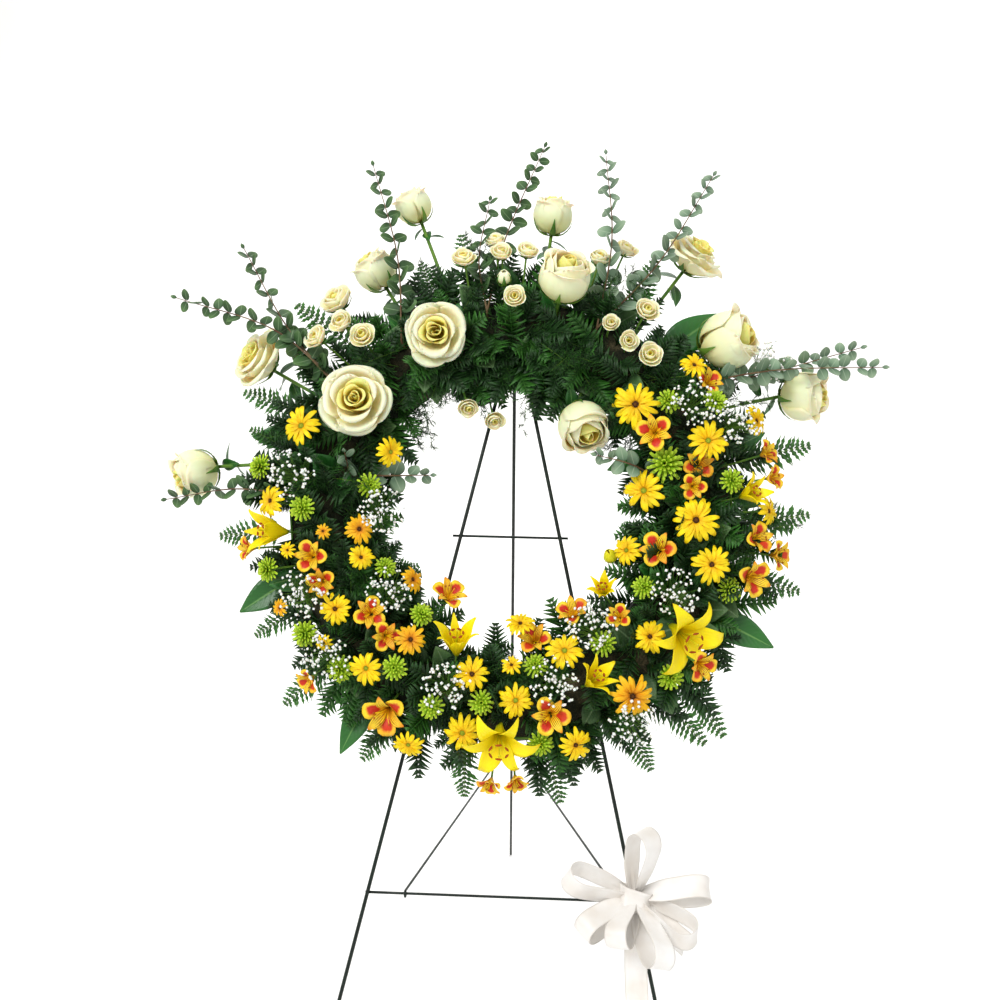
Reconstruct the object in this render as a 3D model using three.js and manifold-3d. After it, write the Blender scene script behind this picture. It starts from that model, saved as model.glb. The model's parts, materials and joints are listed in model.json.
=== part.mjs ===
// A standing funeral wreath: fresh flowers and greens on a moss-covered wire ring, tied to a folding
// wire easel, with a satin bow on one leg. Millimetres, +Z up. The origin is the rear foot on the floor,
// and the viewer is on the -Y side. Places below are measured from the line of the front feet.
import * as THREE from 'three';
import { mergeVertices } from 'three/addons/utils/BufferGeometryUtils.js';
import Module from 'manifold-3d';

const wasm = await Module();
wasm.setup();

const DEG = Math.PI / 180;
const GAP = 0.3;

// The easel: a 42 inch front frame of 3/16 inch wire that leans back, and a rear leg hinged to it.
const LEG_LENGTH = 1067;
const LEAN = 16.4 * DEG;
const LEG_SPREAD = 0.2259;
const LEG_TOP = 40;
const HINGE_DOWN = 80;
const UPPER_BAR_DOWN = 284;
const UPPER_BAR_HALF = 75;
const LOWER_BAR_DOWN = 731;
const REAR_FOOT_Y = 800;
const SPREADER_HEIGHT = 291;
const HOOK_LEFT_X = -118;
const HOOK_RIGHT_X = 150;
const LEG_R = 2.38;
const WIRE_R = 1.6;
const RUNNING_GAP = 0.4;

// The wreath: a 20 inch form. Its places are (u, v, n): across, up the leaning plane, and out of it.
const RING_DOWN = 258;
const CORE_R = 235;
const FRAME_INNER_R = 208;
const FRAME_OUTER_R = 262;
const FRAME_N = LEG_R + GAP + WIRE_R;
const SPOKES = 6;
const SPOKE_R = 1.2;
const MOSS_BACK = FRAME_N + WIRE_R + GAP;
const MOSS_STEPS = 26;
// Moss section, from the ring's core circle: outward, and out of the plane.
const MOSS_SECTION = [
  [-46, MOSS_BACK], [-42, 42], [-22, 56], [-8, 60],
  [6, 60], [20, 57], [42, 42], [46, MOSS_BACK],
];
const BLOOM_REACH = 118;
const BLOOM_FOOT = 42;
const BLOOM_RISE = 66;

const COLOURS = {
  wire: [0x17231c, 0.45, 0.55], moss: [0x6b5f49, 0.95, 0], rose: [0xf3ecd2, 0.55, 0],
  fern: [0x2f5a2b, 0.6, 0], eucalyptus: [0x5f7566, 0.6, 0], daisy: [0xf0bf1a, 0.55, 0],
  mum: [0xa9bf3c, 0.6, 0], alstroemeria: [0xe9a52a, 0.5, 0], lily: [0xf3dc3c, 0.5, 0],
  breath: [0xf2f1ea, 0.7, 0], satin: [0xf1ede2, 0.35, 0],
};

const model = new THREE.Group();
const leaning = new THREE.Group();
leaning.position.set(0, LEG_LENGTH * Math.sin(LEAN), LEG_LENGTH * Math.cos(LEAN));
leaning.rotation.x = Math.PI / 2 - LEAN;
const wreath = new THREE.Group();
wreath.position.set(0, -RING_DOWN, 0);
leaning.add(wreath);
model.add(leaning);

function vec(x, y, z) {
  return new THREE.Vector3(x, y, z);
}

function solid(geometry) {
  const bare = geometry.clone();
  bare.deleteAttribute('normal');
  bare.deleteAttribute('uv');
  const merged = mergeVertices(bare, 1e-4);
  return new wasm.Manifold(new wasm.Mesh({
    numProp: 3,
    vertProperties: new Float32Array(merged.attributes.position.array),
    triVerts: new Uint32Array(merged.index.array),
  }));
}

function geometryOf(manifold) {
  const mesh = manifold.getMesh();
  const geometry = new THREE.BufferGeometry();
  geometry.setAttribute('position', new THREE.BufferAttribute(new Float32Array(mesh.vertProperties), 3));
  geometry.setIndex(new THREE.BufferAttribute(new Uint32Array(mesh.triVerts), 1));
  geometry.computeVertexNormals();
  return geometry;
}

// Joins solids into one and drops any scrap that holds on to nothing.
function joined(solids) {
  const whole = solids.reduce((sum, next) => sum.add(next));
  return whole.decompose().sort((a, b) => b.volume() - a.volume())[0];
}

function addNode(parent, name, manifold, colour) {
  const [hex, roughness, metalness] = COLOURS[colour];
  const material = new THREE.MeshStandardMaterial({ color: hex, roughness, metalness });
  const mesh = new THREE.Mesh(geometryOf(manifold), material);
  mesh.name = name;
  parent.add(mesh);
}

// Basic shapes

function roundSection(radius, sides) {
  const corners = [];
  for (let i = 0; i < sides; i += 1) {
    const angle = (2 * Math.PI * (i + 0.5)) / sides;
    corners.push(new THREE.Vector2(radius * Math.cos(angle), radius * Math.sin(angle)));
  }
  return new THREE.Shape(corners);
}

function tube(points, radius, sides, steps) {
  const path = points.length === 2
    ? new THREE.LineCurve3(points[0], points[1]) : new THREE.CatmullRomCurve3(points);
  return solid(new THREE.ExtrudeGeometry(roundSection(radius, sides), {
    steps: steps ?? points.length - 1, extrudePath: path, bevelEnabled: false,
  }));
}

// A closed skin over rings of points, from a pole at the start to a pole at the end. A ring may have
// more points than the one before it.
function skin(start, rings, end) {
  const points = [start, ...rings.flat(), end];
  const triangles = [];
  const starts = [];
  rings.reduce((sum, ring) => {
    starts.push(sum);
    return sum + ring.length;
  }, 1);
  const at = (ring, i) => starts[ring] + (i % rings[ring].length);
  for (let i = 0; i < rings[0].length; i += 1) triangles.push(0, at(0, i + 1), at(0, i));
  for (let ring = 0; ring + 1 < rings.length; ring += 1) {
    const [few, many] = [rings[ring].length, rings[ring + 1].length];
    for (let i = 0; i < many; i += 1) {
      const a = Math.floor((few * i) / many);
      const b = Math.floor((few * (i + 1)) / many);
      triangles.push(at(ring, a), at(ring + 1, i + 1), at(ring + 1, i));
      if (b > a) triangles.push(at(ring, a), at(ring, b), at(ring + 1, i + 1));
    }
  }
  const last = rings.length - 1;
  const pole = points.length - 1;
  for (let i = 0; i < rings[last].length; i += 1) triangles.push(at(last, i), at(last, i + 1), pole);
  const geometry = new THREE.BufferGeometry();
  geometry.setAttribute('position',
    new THREE.BufferAttribute(new Float32Array(points.flatMap((p) => [p.x, p.y, p.z])), 3));
  geometry.setIndex(triangles);
  return geometry;
}

// A rod whose two ends are cut by the planes given as [point, normal].
function cutRod(from, to, radius, sides, endPlanes) {
  const along = to.clone().sub(from).normalize();
  const side = vec(0, 1, 0).cross(along).normalize();
  const other = along.clone().cross(side);
  const rings = endPlanes.map(([origin, normal]) => {
    const ring = [];
    for (let i = 0; i < sides; i += 1) {
      const angle = (2 * Math.PI * (i + 0.5)) / sides;
      const start = from.clone().addScaledVector(side, radius * Math.cos(angle));
      start.addScaledVector(other, radius * Math.sin(angle));
      const reach = origin.clone().sub(start).dot(normal) / along.dot(normal);
      ring.push(start.addScaledVector(along, reach));
    }
    return ring;
  });
  const middle = (ring) => ring.reduce((sum, p) => sum.add(p), vec(0, 0, 0)).divideScalar(sides);
  return solid(skin(middle(rings[0]), rings, middle(rings[1])));
}

// A thin blade: rows of [centre, half width across, thickness direction], pointed or blunt at its ends.
function blade(rows, thickness) {
  const rings = rows.map(([centre, half, up]) => {
    const lift = up.clone().multiplyScalar(thickness / 2);
    const left = centre.clone().sub(half);
    const right = centre.clone().add(half);
    return [left.clone().add(lift), right.clone().add(lift), right.sub(lift), left.sub(lift)];
  });
  const middle = (ring) => ring.reduce((sum, p) => sum.add(p), vec(0, 0, 0)).divideScalar(4);
  const last = rings.length - 1;
  return solid(skin(middle(rings[0]), rings, middle(rings[last])));
}

// The matrix that turns +Z towards a direction and moves the origin to a place.
function pose(place, facing, turn = 0) {
  const swing = new THREE.Quaternion().setFromUnitVectors(vec(0, 0, 1), facing.clone().normalize());
  const spin = new THREE.Quaternion().setFromAxisAngle(vec(0, 0, 1), turn);
  return new THREE.Matrix4().compose(place, swing.multiply(spin), vec(1, 1, 1));
}

// Three-sided stem rings along a way that runs from a bloom's neck down to its root.
function stemRings(way, radius, neckAxis) {
  let side = neckAxis;
  return way.slice(0, -1).map((point, i) => {
    const above = i === 0 ? point : way[i - 1];
    const up = above.clone().sub(way[i + 1]).normalize();
    side = side.clone().addScaledVector(up, -side.dot(up)).normalize();
    const other = up.clone().cross(side);
    return [0, 1, 2].map((k) => {
      const angle = (2 * Math.PI * k) / 3;
      const corner = point.clone().addScaledVector(side, radius * Math.cos(angle));
      return corner.addScaledVector(other, radius * Math.sin(angle));
    });
  }).reverse();
}

// Room keeping: which node holds each small cell of space round the ring.
const CELL = 2.6;
const SAMPLE_STEP = 1.7;
const CELLS_WIDE = 1024;
const owners = new Map();

function cellKey(x, y, z) {
  const half = CELLS_WIDE / 2;
  const ix = Math.round(x / CELL) + half;
  const iy = Math.round(y / CELL) + half;
  const iz = Math.round(z / CELL) + half;
  return (ix * CELLS_WIDE + iy) * CELLS_WIDE + iz;
}

function cellsOfSurface(geometry) {
  const cells = new Set();
  const flat = geometry.index ? geometry.toNonIndexed() : geometry;
  const position = flat.attributes.position;
  const [a, b, c, p] = [vec(), vec(), vec(), vec()];
  for (let t = 0; t < position.count; t += 3) {
    a.fromBufferAttribute(position, t);
    b.fromBufferAttribute(position, t + 1);
    c.fromBufferAttribute(position, t + 2);
    const longest = Math.max(a.distanceTo(b), b.distanceTo(c), c.distanceTo(a));
    const n = Math.max(1, Math.ceil(longest / SAMPLE_STEP));
    for (let i = 0; i <= n; i += 1) {
      for (let j = 0; j <= n - i; j += 1) {
        p.copy(a).multiplyScalar(1 - (i + j) / n).addScaledVector(b, i / n).addScaledVector(c, j / n);
        cells.add(cellKey(p.x, p.y, p.z));
      }
    }
  }
  return cells;
}

const AROUND = [[0, 0, 0], [1, 0, 0], [-1, 0, 0], [0, 1, 0], [0, -1, 0], [0, 0, 1], [0, 0, -1]];

// The cells of a round line. The last stretch of it, spare long, is left out.
function cellsOfLine(points, radius, spare = 0) {
  const cells = new Set();
  const p = vec();
  for (let k = 0; k + 1 < points.length; k += 1) {
    const length = points[k].distanceTo(points[k + 1]);
    const end = k + 2 === points.length ? Math.max(0, 1 - spare / length) : 1;
    const steps = Math.ceil(length / SAMPLE_STEP);
    for (let i = 0; i <= steps; i += 1) {
      p.lerpVectors(points[k], points[k + 1], (end * i) / steps);
      for (const [dx, dy, dz] of AROUND) {
        cells.add(cellKey(p.x + dx * radius, p.y + dy * radius, p.z + dz * radius));
      }
    }
  }
  return cells;
}

const NEIGHBOURS = [0, 1, -1, CELLS_WIDE, -CELLS_WIDE, CELLS_WIDE ** 2, -(CELLS_WIDE ** 2)];

function isFree(cells, owner, allowed = owner) {
  for (const cell of cells) {
    for (const step of NEIGHBOURS) {
      const holder = owners.get(cell + step);
      if (holder !== undefined && holder !== owner && holder !== allowed) return false;
    }
  }
  return true;
}

function claim(cells, owner) {
  for (const cell of cells) owners.set(cell, owner);
}

// Easel

function onPlane(x, down, n = 0) {
  return vec(x, -down, n);
}

function legPoint(side, down) {
  return onPlane(side * LEG_SPREAD * down, down);
}

function frontLeg(side) {
  const top = legPoint(side, LEG_TOP);
  const foot = legPoint(side, LEG_LENGTH);
  const floorNormal = vec(0, Math.cos(LEAN), Math.sin(LEAN));
  return cutRod(top, foot, LEG_R, 12, [[top, foot.clone().sub(top).normalize()], [foot, floorNormal]]);
}

function addEasel() {
  addNode(leaning, 'front_leg_left', frontLeg(-1), 'wire');
  addNode(leaning, 'front_leg_right', frontLeg(1), 'wire');
  const upperN = -(LEG_R + GAP + WIRE_R);
  const upper = tube([onPlane(-UPPER_BAR_HALF, UPPER_BAR_DOWN, upperN),
    onPlane(UPPER_BAR_HALF, UPPER_BAR_DOWN, upperN)], WIRE_R, 10);
  addNode(leaning, 'upper_crossbar', upper, 'wire');
  const slant = Math.hypot(1, LEG_SPREAD);
  const between = (down) => LEG_SPREAD * down - LEG_R * slant - GAP - LEG_SPREAD * LEG_R;
  const lower = tube([onPlane(-between(LOWER_BAR_DOWN), LOWER_BAR_DOWN),
    onPlane(between(LOWER_BAR_DOWN), LOWER_BAR_DOWN)], WIRE_R, 10);
  addNode(leaning, 'lower_crossbar', lower, 'wire');
  const hinge = tube([onPlane(-between(HINGE_DOWN), HINGE_DOWN),
    onPlane(between(HINGE_DOWN), HINGE_DOWN)], LEG_R, 10);
  addNode(leaning, 'hinge_bar', hinge, 'wire');
}

// The world place of a point of the leaning plane, as (y, z).
function worldOf(down, n = 0) {
  const y = (LEG_LENGTH - down) * Math.sin(LEAN) - n * Math.cos(LEAN);
  const z = (LEG_LENGTH - down) * Math.cos(LEAN) + n * Math.sin(LEAN);
  return vec(0, y, z);
}

// An eye of wire bent round a bar that runs along X. It starts where a straight wire leaves it.
function eye(centre, radius, wireRadius, startAngle, sweep) {
  const points = [];
  const steps = 8;
  for (let i = 0; i <= steps; i += 1) {
    const angle = startAngle + (sweep * i) / steps;
    points.push(vec(centre.x, centre.y + radius * Math.cos(angle), centre.z + radius * Math.sin(angle)));
  }
  return tube(points, wireRadius - 0.1, 5, 8);
}

function rearLegLine() {
  const hinge = worldOf(HINGE_DOWN);
  const tilt = Math.atan2(REAR_FOOT_Y - hinge.y, hinge.z);
  const eyeR = LEG_R * 2 + RUNNING_GAP;
  const start = hinge.clone().add(vec(0, eyeR * Math.cos(tilt), eyeR * Math.sin(tilt)));
  const along = vec(0, Math.sin(tilt), -Math.cos(tilt));
  const foot = start.clone().addScaledVector(along, start.z / Math.cos(tilt));
  return { hinge, tilt, eyeR, start, along, foot };
}

function addRearLeg() {
  const { hinge, tilt, eyeR, start, along, foot } = rearLegLine();
  const rod = cutRod(start, foot, LEG_R, 12, [[start, along], [foot, vec(0, 0, -1)]]);
  addNode(model, 'rear_leg', joined([rod, eye(hinge, eyeR, LEG_R, tilt - 0.1, 290 * DEG)]), 'wire');
}

// One arm of the spreader: hooked round the lower crossbar, and bent in behind the rear leg.
function spreaderArm(side, hookX) {
  const { along, start, tilt } = rearLegLine();
  const bar = worldOf(LOWER_BAR_DOWN);
  const onLeg = start.clone().addScaledVector(along, (start.z - SPREADER_HEIGHT) / Math.cos(tilt));
  const behind = vec(0, Math.cos(tilt), Math.sin(tilt));
  const bend = onLeg.addScaledVector(behind, LEG_R + GAP + WIRE_R);
  const level = Math.atan2(bend.z - bar.z, bend.y - bar.y);
  const hookR = WIRE_R * 2 + RUNNING_GAP;
  const hook = eye(vec(hookX, bar.y, bar.z), hookR, WIRE_R, level + 90 * DEG - 0.1, 270 * DEG);
  const forward = vec(0, Math.cos(level), Math.sin(level));
  const first = vec(hookX, bar.y - hookR * Math.sin(level), bar.z + hookR * Math.cos(level));
  const sideX = LEG_R + WIRE_R + 3;
  const nearBend = vec(side * sideX, bend.y, bend.z).addScaledVector(forward, -sideX);
  const arm = tube([first, nearBend], WIRE_R, 6, 1);
  const corner = tube([
    nearBend.clone().addScaledVector(forward, -1.5),
    vec(side * sideX, bend.y, bend.z).addScaledVector(forward, -3),
    vec(side * (sideX - 2.2), bend.y, bend.z).addScaledVector(forward, -0.5),
    vec(side * GAP / 2, bend.y, bend.z),
  ], WIRE_R - 0.05, 5, 3);
  return joined([arm, hook, corner]);
}

function addSpreader() {
  addNode(model, 'spreader_left', spreaderArm(-1, HOOK_LEFT_X), 'wire');
  addNode(model, 'spreader_right', spreaderArm(1, HOOK_RIGHT_X), 'wire');
}

// Ring: wire form, ties and moss

function polar(radius, angle, n) {
  return vec(radius * Math.cos(angle), radius * Math.sin(angle), n);
}

function addWireForm() {
  const pieces = [FRAME_INNER_R, FRAME_OUTER_R].map((radius) => {
    const torus = new THREE.TorusGeometry(radius, WIRE_R, 4, 28);
    torus.translate(0, 0, FRAME_N);
    return solid(torus);
  });
  for (let i = 0; i < SPOKES; i += 1) {
    const angle = (2 * Math.PI * (i + 0.5)) / SPOKES;
    const ends = [FRAME_INNER_R, FRAME_OUTER_R - 1].map((radius) => polar(radius, angle, FRAME_N));
    pieces.push(tube(ends, SPOKE_R, 4));
  }
  addNode(wreath, 'wire_form', joined(pieces), 'wire');
}

// Where a leg passes behind the outer wire of the form, low on the ring.
function tiePlace(side) {
  const slope = LEG_SPREAD;
  const a = 1 + slope * slope;
  const b = -2 * slope * slope * RING_DOWN;
  const c = slope * slope * RING_DOWN * RING_DOWN - FRAME_OUTER_R * FRAME_OUTER_R;
  const v = (-b - Math.sqrt(b * b - 4 * a * c)) / (2 * a);
  return vec(side * slope * (RING_DOWN - v), v, 0);
}

// The tie's closed outline, in parts of its half width and its height.
const TIE_OUTLINE = [[-1, 0.2], [-0.55, 0], [0.55, 0], [1, 0.2], [1, 0.8], [0.55, 1], [-0.55, 1],
  [-1, 0.8], [-1, 0.32]];

function tie(side) {
  const place = tiePlace(side);
  const legWay = vec(side * LEG_SPREAD, -1, 0).normalize();
  const wireWay = vec(-place.y, place.x, 0).normalize();
  if (wireWay.dot(legWay) < 0) wireWay.negate();
  const through = legWay.add(wireWay).normalize();
  const across = through.clone().cross(vec(0, 0, 1));
  const points = [];
  const low = -LEG_R - GAP - 0.8;
  const high = FRAME_N + WIRE_R + GAP + 0.8;
  const half = LEG_R * 1.25 + GAP + 2.4;
  for (const [w, h] of TIE_OUTLINE) {
    points.push(place.clone().addScaledVector(across, w * half).add(vec(0, 0, low + (high - low) * h)));
  }
  return tube(points, 0.7, 4, 10);
}

function mossSolid() {
  const rings = [];
  for (let i = 0; i < MOSS_STEPS; i += 1) {
    const angle = (2 * Math.PI * i) / MOSS_STEPS;
    rings.push(MOSS_SECTION.map(([out, n], j) => {
      const flat = n === MOSS_BACK;
      const dip = flat ? 0 : 0.2 + 0.2 * Math.sin(i * 2.4 + j * 1.7);
      return polar(CORE_R + out * (1 - dip / 60), angle, n - dip);
    }));
  }
  const count = MOSS_SECTION.length;
  const points = rings.flat().flatMap((p) => [p.x, p.y, p.z]);
  const triangles = [];
  const at = (i, j) => ((i + MOSS_STEPS) % MOSS_STEPS) * count + ((j + count) % count);
  for (let i = 0; i < MOSS_STEPS; i += 1) {
    for (let j = 0; j < count; j += 1) {
      triangles.push(at(i, j), at(i, j + 1), at(i + 1, j + 1));
      triangles.push(at(i, j), at(i + 1, j + 1), at(i + 1, j));
    }
  }
  const geometry = new THREE.BufferGeometry();
  geometry.setAttribute('position', new THREE.BufferAttribute(new Float32Array(points), 3));
  geometry.setIndex(triangles);
  const whole = solid(geometry);
  claim(cellsOfSurface(geometry), 'moss');
  return whole;
}

const mossHoles = [];

function addTiesAndMoss(moss) {
  addNode(wreath, 'tie_left', tie(-1), 'wire');
  addNode(wreath, 'tie_right', tie(1), 'wire');
  let body = moss;
  for (const side of [-1, 1]) {
    const room = new THREE.BoxGeometry(17, 17, 8);
    const place = tiePlace(side);
    room.translate(place.x, place.y, MOSS_BACK - 1);
    body = body.subtract(solid(room));
  }
  for (const hole of mossHoles) body = body.subtract(hole);
  addNode(wreath, 'moss_ring', joined([body]), 'moss');
}

// Bloom shapes: rows of [radius, height, wave, lift], in parts of the bloom's radius

function bloom(radius, columns, lobes, bottom, rows, top) {
  const rings = rows.map(([r, z, wave = 0, lift = 0]) => {
    const ring = [];
    for (let i = 0; i < columns; i += 1) {
      const angle = (2 * Math.PI * i) / columns;
      const beat = Math.cos(lobes * angle);
      const reach = radius * r * (1 + wave * beat);
      ring.push(vec(reach * Math.cos(angle), reach * Math.sin(angle), radius * (z + lift * beat)));
    }
    return ring;
  });
  return { rings, bottom: vec(0, 0, radius * bottom), top: vec(0, 0, radius * top) };
}

const BLOOMS = {
  openRose: (r) => bloom(r, 12, 4, -0.3, [[0.8, 0.12, 0.05], [1, 0.55, 0.1, 0.05],
    [0.74, 0.46, 0.08], [0.68, 0.8, -0.08, 0.04], [0.42, 0.66, -0.05], [0.38, 0.92, 0.1]], 0.78),
  roseBud: (r) => bloom(r, 10, 5, -0.4, [[0.86, 0.4, 0.04], [0.98, 0.95, 0.08],
    [0.66, 1.38, -0.1, 0.05], [0.42, 1.2]], 1.5),
  sprayRose: (r) => bloom(r, 8, 4, -0.3, [[0.95, 0.45, 0.1], [0.62, 0.5], [0.52, 0.85, -0.1]], 0.7),
  daisy: (r, petals) => bloom(r, 2 * petals, petals, -0.25, petals > 6
    ? [[0.72, 0.06, 0.38], [0.72, 0.06 + 0.9 / r, 0.38], [0.3, 0.24]]
    : [[0.72, 0.1, 0.38]], 0.34),
  mum: (r) => bloom(r, 10, 5, -0.3, [[0.76, 0.08, 0.3], [0.6, 0.45, -0.3]], 0.7),
  alstroemeria: (r) => bloom(r, 12, 6, -0.5, [[0.7, 0.4, 0.4]], 0.1),
  lily: (r) => bloom(r, 18, 6, -0.75, [[0.14, -0.35], [0.66, 0.18, 0.45, -0.06],
    [0.66, 0.18 + 1.4 / r, 0.45, -0.06], [0.16, 0]], -0.12),
  halfLily: (r) => bloom(r, 12, 6, -0.8, [[0.2, -0.4], [0.6, 0.4, 0.4],
    [0.6, 0.4 + 1.4 / r, 0.4], [0.16, 0.1]], 0),
  bud: (r) => bloom(r, 5, 5, -1.2, [[0.7, -0.5], [1, 0.4]], 1.3),
};

// The height of the crown of flowers above the leaning plane, over a place on the ring.
function crown(u, v) {
  const off = Math.min(Math.abs(Math.hypot(u, v) - CORE_R) / BLOOM_REACH, 1);
  return BLOOM_FOOT + BLOOM_RISE * Math.sqrt(1 - off * off);
}

function mossTop(out) {
  return 60 - 0.0085 * out * out;
}

// The moss ring has straight stretches between its steps, which lie a little inside the true circle.
const MOSS_STEP = (2 * Math.PI) / MOSS_STEPS;

function onMoss(out, turn, n) {
  const offMiddle = turn - (Math.floor(turn / MOSS_STEP) + 0.5) * MOSS_STEP;
  return polar(((CORE_R + out) * Math.cos(MOSS_STEP / 2)) / Math.cos(offMiddle), turn, n);
}

// A thin bundle of stems along the moss, with a corner at each step of the moss.
// Each corner of its section is [outward, out of the plane].
function mossBundle(out, n, low, high, corners) {
  const turns = [low];
  for (let i = Math.floor(low / MOSS_STEP) + 1; i * MOSS_STEP < high; i += 1) turns.push(i * MOSS_STEP);
  turns.push(high);
  const rings = turns.map((turn) => corners.map(([dOut, dN]) => onMoss(out + dOut, turn, n + dN)));
  return solid(skin(onMoss(out, low, n), rings, onMoss(out, high, n)));
}

function bundleLine(out, n, low, high) {
  const steps = Math.ceil((high - low) / (2 * DEG));
  return Array.from({ length: steps + 1 }, (_, i) => onMoss(out, low + ((high - low) * i) / steps, n));
}

// A bloom faces out from the ring's core, and its own lean [across, up] is added.
function bloomFacing(u, v, lean = [0, 0]) {
  const radius = Math.hypot(u, v);
  const off = Math.max(-1, Math.min(1, (radius - CORE_R) / BLOOM_REACH));
  const away = vec(u / radius, v / radius, 0).multiplyScalar(0.75 * off);
  return away.add(vec(lean[0], lean[1], 1)).normalize();
}

const HEIGHT_TRIES = [0, -6, 6, -12, 12, -18, 18, -24, 24, 30, 36, -30];

function turned(shape, matrix) {
  return {
    rings: shape.rings.map((ring) => ring.map((p) => p.clone().applyMatrix4(matrix))),
    bottom: shape.bottom.clone().applyMatrix4(matrix),
    top: shape.top.clone().applyMatrix4(matrix),
    axis: vec(1, 0, 0).transformDirection(matrix),
  };
}

// A bloom and its stem in one skin, from the root end up to the bloom's top.
function stemmed(bloomAt, way, radius) {
  const rings = [...stemRings(way, radius, bloomAt.axis), ...bloomAt.rings];
  return solid(skin(way[way.length - 1], rings, bloomAt.top));
}

// Finds the nearest free height for a bloom and claims its room.
function settle(owner, shape, u, v, facing, turn, height) {
  for (const rise of HEIGHT_TRIES) {
    const place = vec(u, v, height + rise);
    const bloomAt = turned(shape, pose(place, facing, turn));
    const cells = cellsOfSurface(skin(bloomAt.bottom, bloomAt.rings, bloomAt.top));
    if (isFree(cells, owner)) {
      claim(cells, owner);
      return { bloomAt, place };
    }
  }
  console.warn(`no room for a bloom of ${owner} at ${u}, ${v}`);
  return null;
}

// How far a stem's middle may rise and swing aside.
const BENDS = [0, 8, -8, 16, 26, 36]
  .flatMap((arch) => [0, 8, -8, 18, -18, 30, -30].map((sway) => [arch, sway]));

// A stem from a bloom to a root point, bent over what is in its way.
function route(owner, base, roots, radius, spare) {
  for (const root of roots) {
    for (const [arch, sway] of BENDS) {
      const middle = base.clone().lerp(root, 0.55);
      const across = root.clone().sub(base).cross(vec(0, 0, 1)).normalize();
      middle.addScaledVector(across, sway).add(vec(0, 0, arch));
      const points = arch === 0 && sway === 0 ? [base, root] : [base, middle, root];
      const cells = cellsOfLine(points, radius);
      if (isFree(cellsOfLine(points, radius, spare), owner) && isFree(cells, owner, 'moss')) {
        claim(cells, owner);
        return points;
      }
    }
  }
  return null;
}

// A single bloom whose stem stands in a hole in the moss.
const ROOT_TURNS = [0, 3, -3, 6, -6, 9, -9, 13, -13, 18, -18];
const ROOT_OUTS = [13, -15, -32];
const HOLE_DEPTH = 12;

function rootsInMoss(angle, out) {
  const outs = [...ROOT_OUTS].sort((a, b) => Math.abs(a - out) - Math.abs(b - out));
  const place = (d, turn) => polar(CORE_R + d, angle + turn * DEG, mossTop(d) + 4);
  return outs.flatMap((d) => ROOT_TURNS.map((turn) => place(d, turn)));
}

function sinkStem(owner, base, angle, out, radius) {
  const way = route(owner, base, rootsInMoss(angle, out), radius, 9);
  if (!way) return null;
  const root = way[way.length - 1];
  const inward = polar(CORE_R, turnOf(root), 20).sub(root).normalize();
  return [...way, root.clone().addScaledVector(inward, HOLE_DEPTH)];
}

// The plain hole that a stem stands in, a little wider than the stem's own pointed end.
function cutHole(rootRing, tip, radius) {
  const centre = rootRing.reduce((sum, p) => sum.add(p), vec(0, 0, 0)).divideScalar(rootRing.length);
  const outward = centre.clone().sub(tip).normalize();
  const widen = 1 + (2 * GAP) / radius;
  const wide = rootRing.map((p) => centre.clone().addScaledVector(p.clone().sub(centre), widen));
  const above = wide.map((p) => p.clone().addScaledVector(outward, 9));
  const lid = centre.clone().addScaledVector(outward, 9);
  mossHoles.push(solid(skin(tip.clone().addScaledVector(outward, -1.5), [wide, above], lid)));
}

// Roses: [across, up, diameter, shape, lean across, lean up, height added]
const ROSES = [
  [-395, 50, 60, 'roseBud', -0.9, -0.9, 0],
  [-328, 190, 72, 'openRose', -0.3, 0.1, 4],
  [-178, 306, 54, 'roseBud', -0.7, 0.8, 4],
  [-133, 396, 48, 'roseBud', -0.8, 1.2, 4],
  [-95, 215, 70, 'openRose', 0, -0.2, 8],
  [-190, 126, 78, 'openRose', 0, 0, 10],
  [45, 384, 52, 'roseBud', 0.1, 1.6, 4],
  [58, 276, 64, 'roseBud', 0.2, 0.5, 8],
  [82, 118, 60, 'roseBud', 0.9, -0.7, 4],
  [226, 338, 70, 'openRose', 0.5, 0.5, 4],
  [250, 214, 72, 'roseBud', 1.1, 0.1, 4],
  [356, 162, 62, 'roseBud', 1, -0.6, 2],
];

function addRoses() {
  return ROSES.map(([u, v, size, kind, leanU, leanV, lift], i) => {
    const owner = `rose_${String(i + 1).padStart(2, '0')}`;
    const facing = bloomFacing(u, v, [leanU, leanV]);
    const head = settle(owner, BLOOMS[kind](size / 2), u, v, facing, i, crown(u, v) + lift - size * 0.3);
    return { owner, head };
  });
}

function addRoseStems(roses) {
  for (const { owner, head } of roses) {
    const out = Math.hypot(head.place.x, head.place.y) - CORE_R;
    const way = sinkStem(owner, head.bloomAt.bottom, turnOf(head.place), out, 2);
    if (!way) continue;
    cutHole(stemRings(way, 2, head.bloomAt.axis)[0], way[way.length - 1], 2);
    addNode(wreath, owner, stemmed(head.bloomAt, way, 2), 'rose');
  }
}

// Sprays: heads joined by their stems to one bundle that lies along the moss.
// Each head is [across, up, diameter, shape, lean across, lean up].
const TRACKS = { inner: [-22, 56], low: [-8, 60], high: [6, 60], outer: [20, 57], brim: [31, 50] };
const BUNDLE_R = 1.9;

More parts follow.
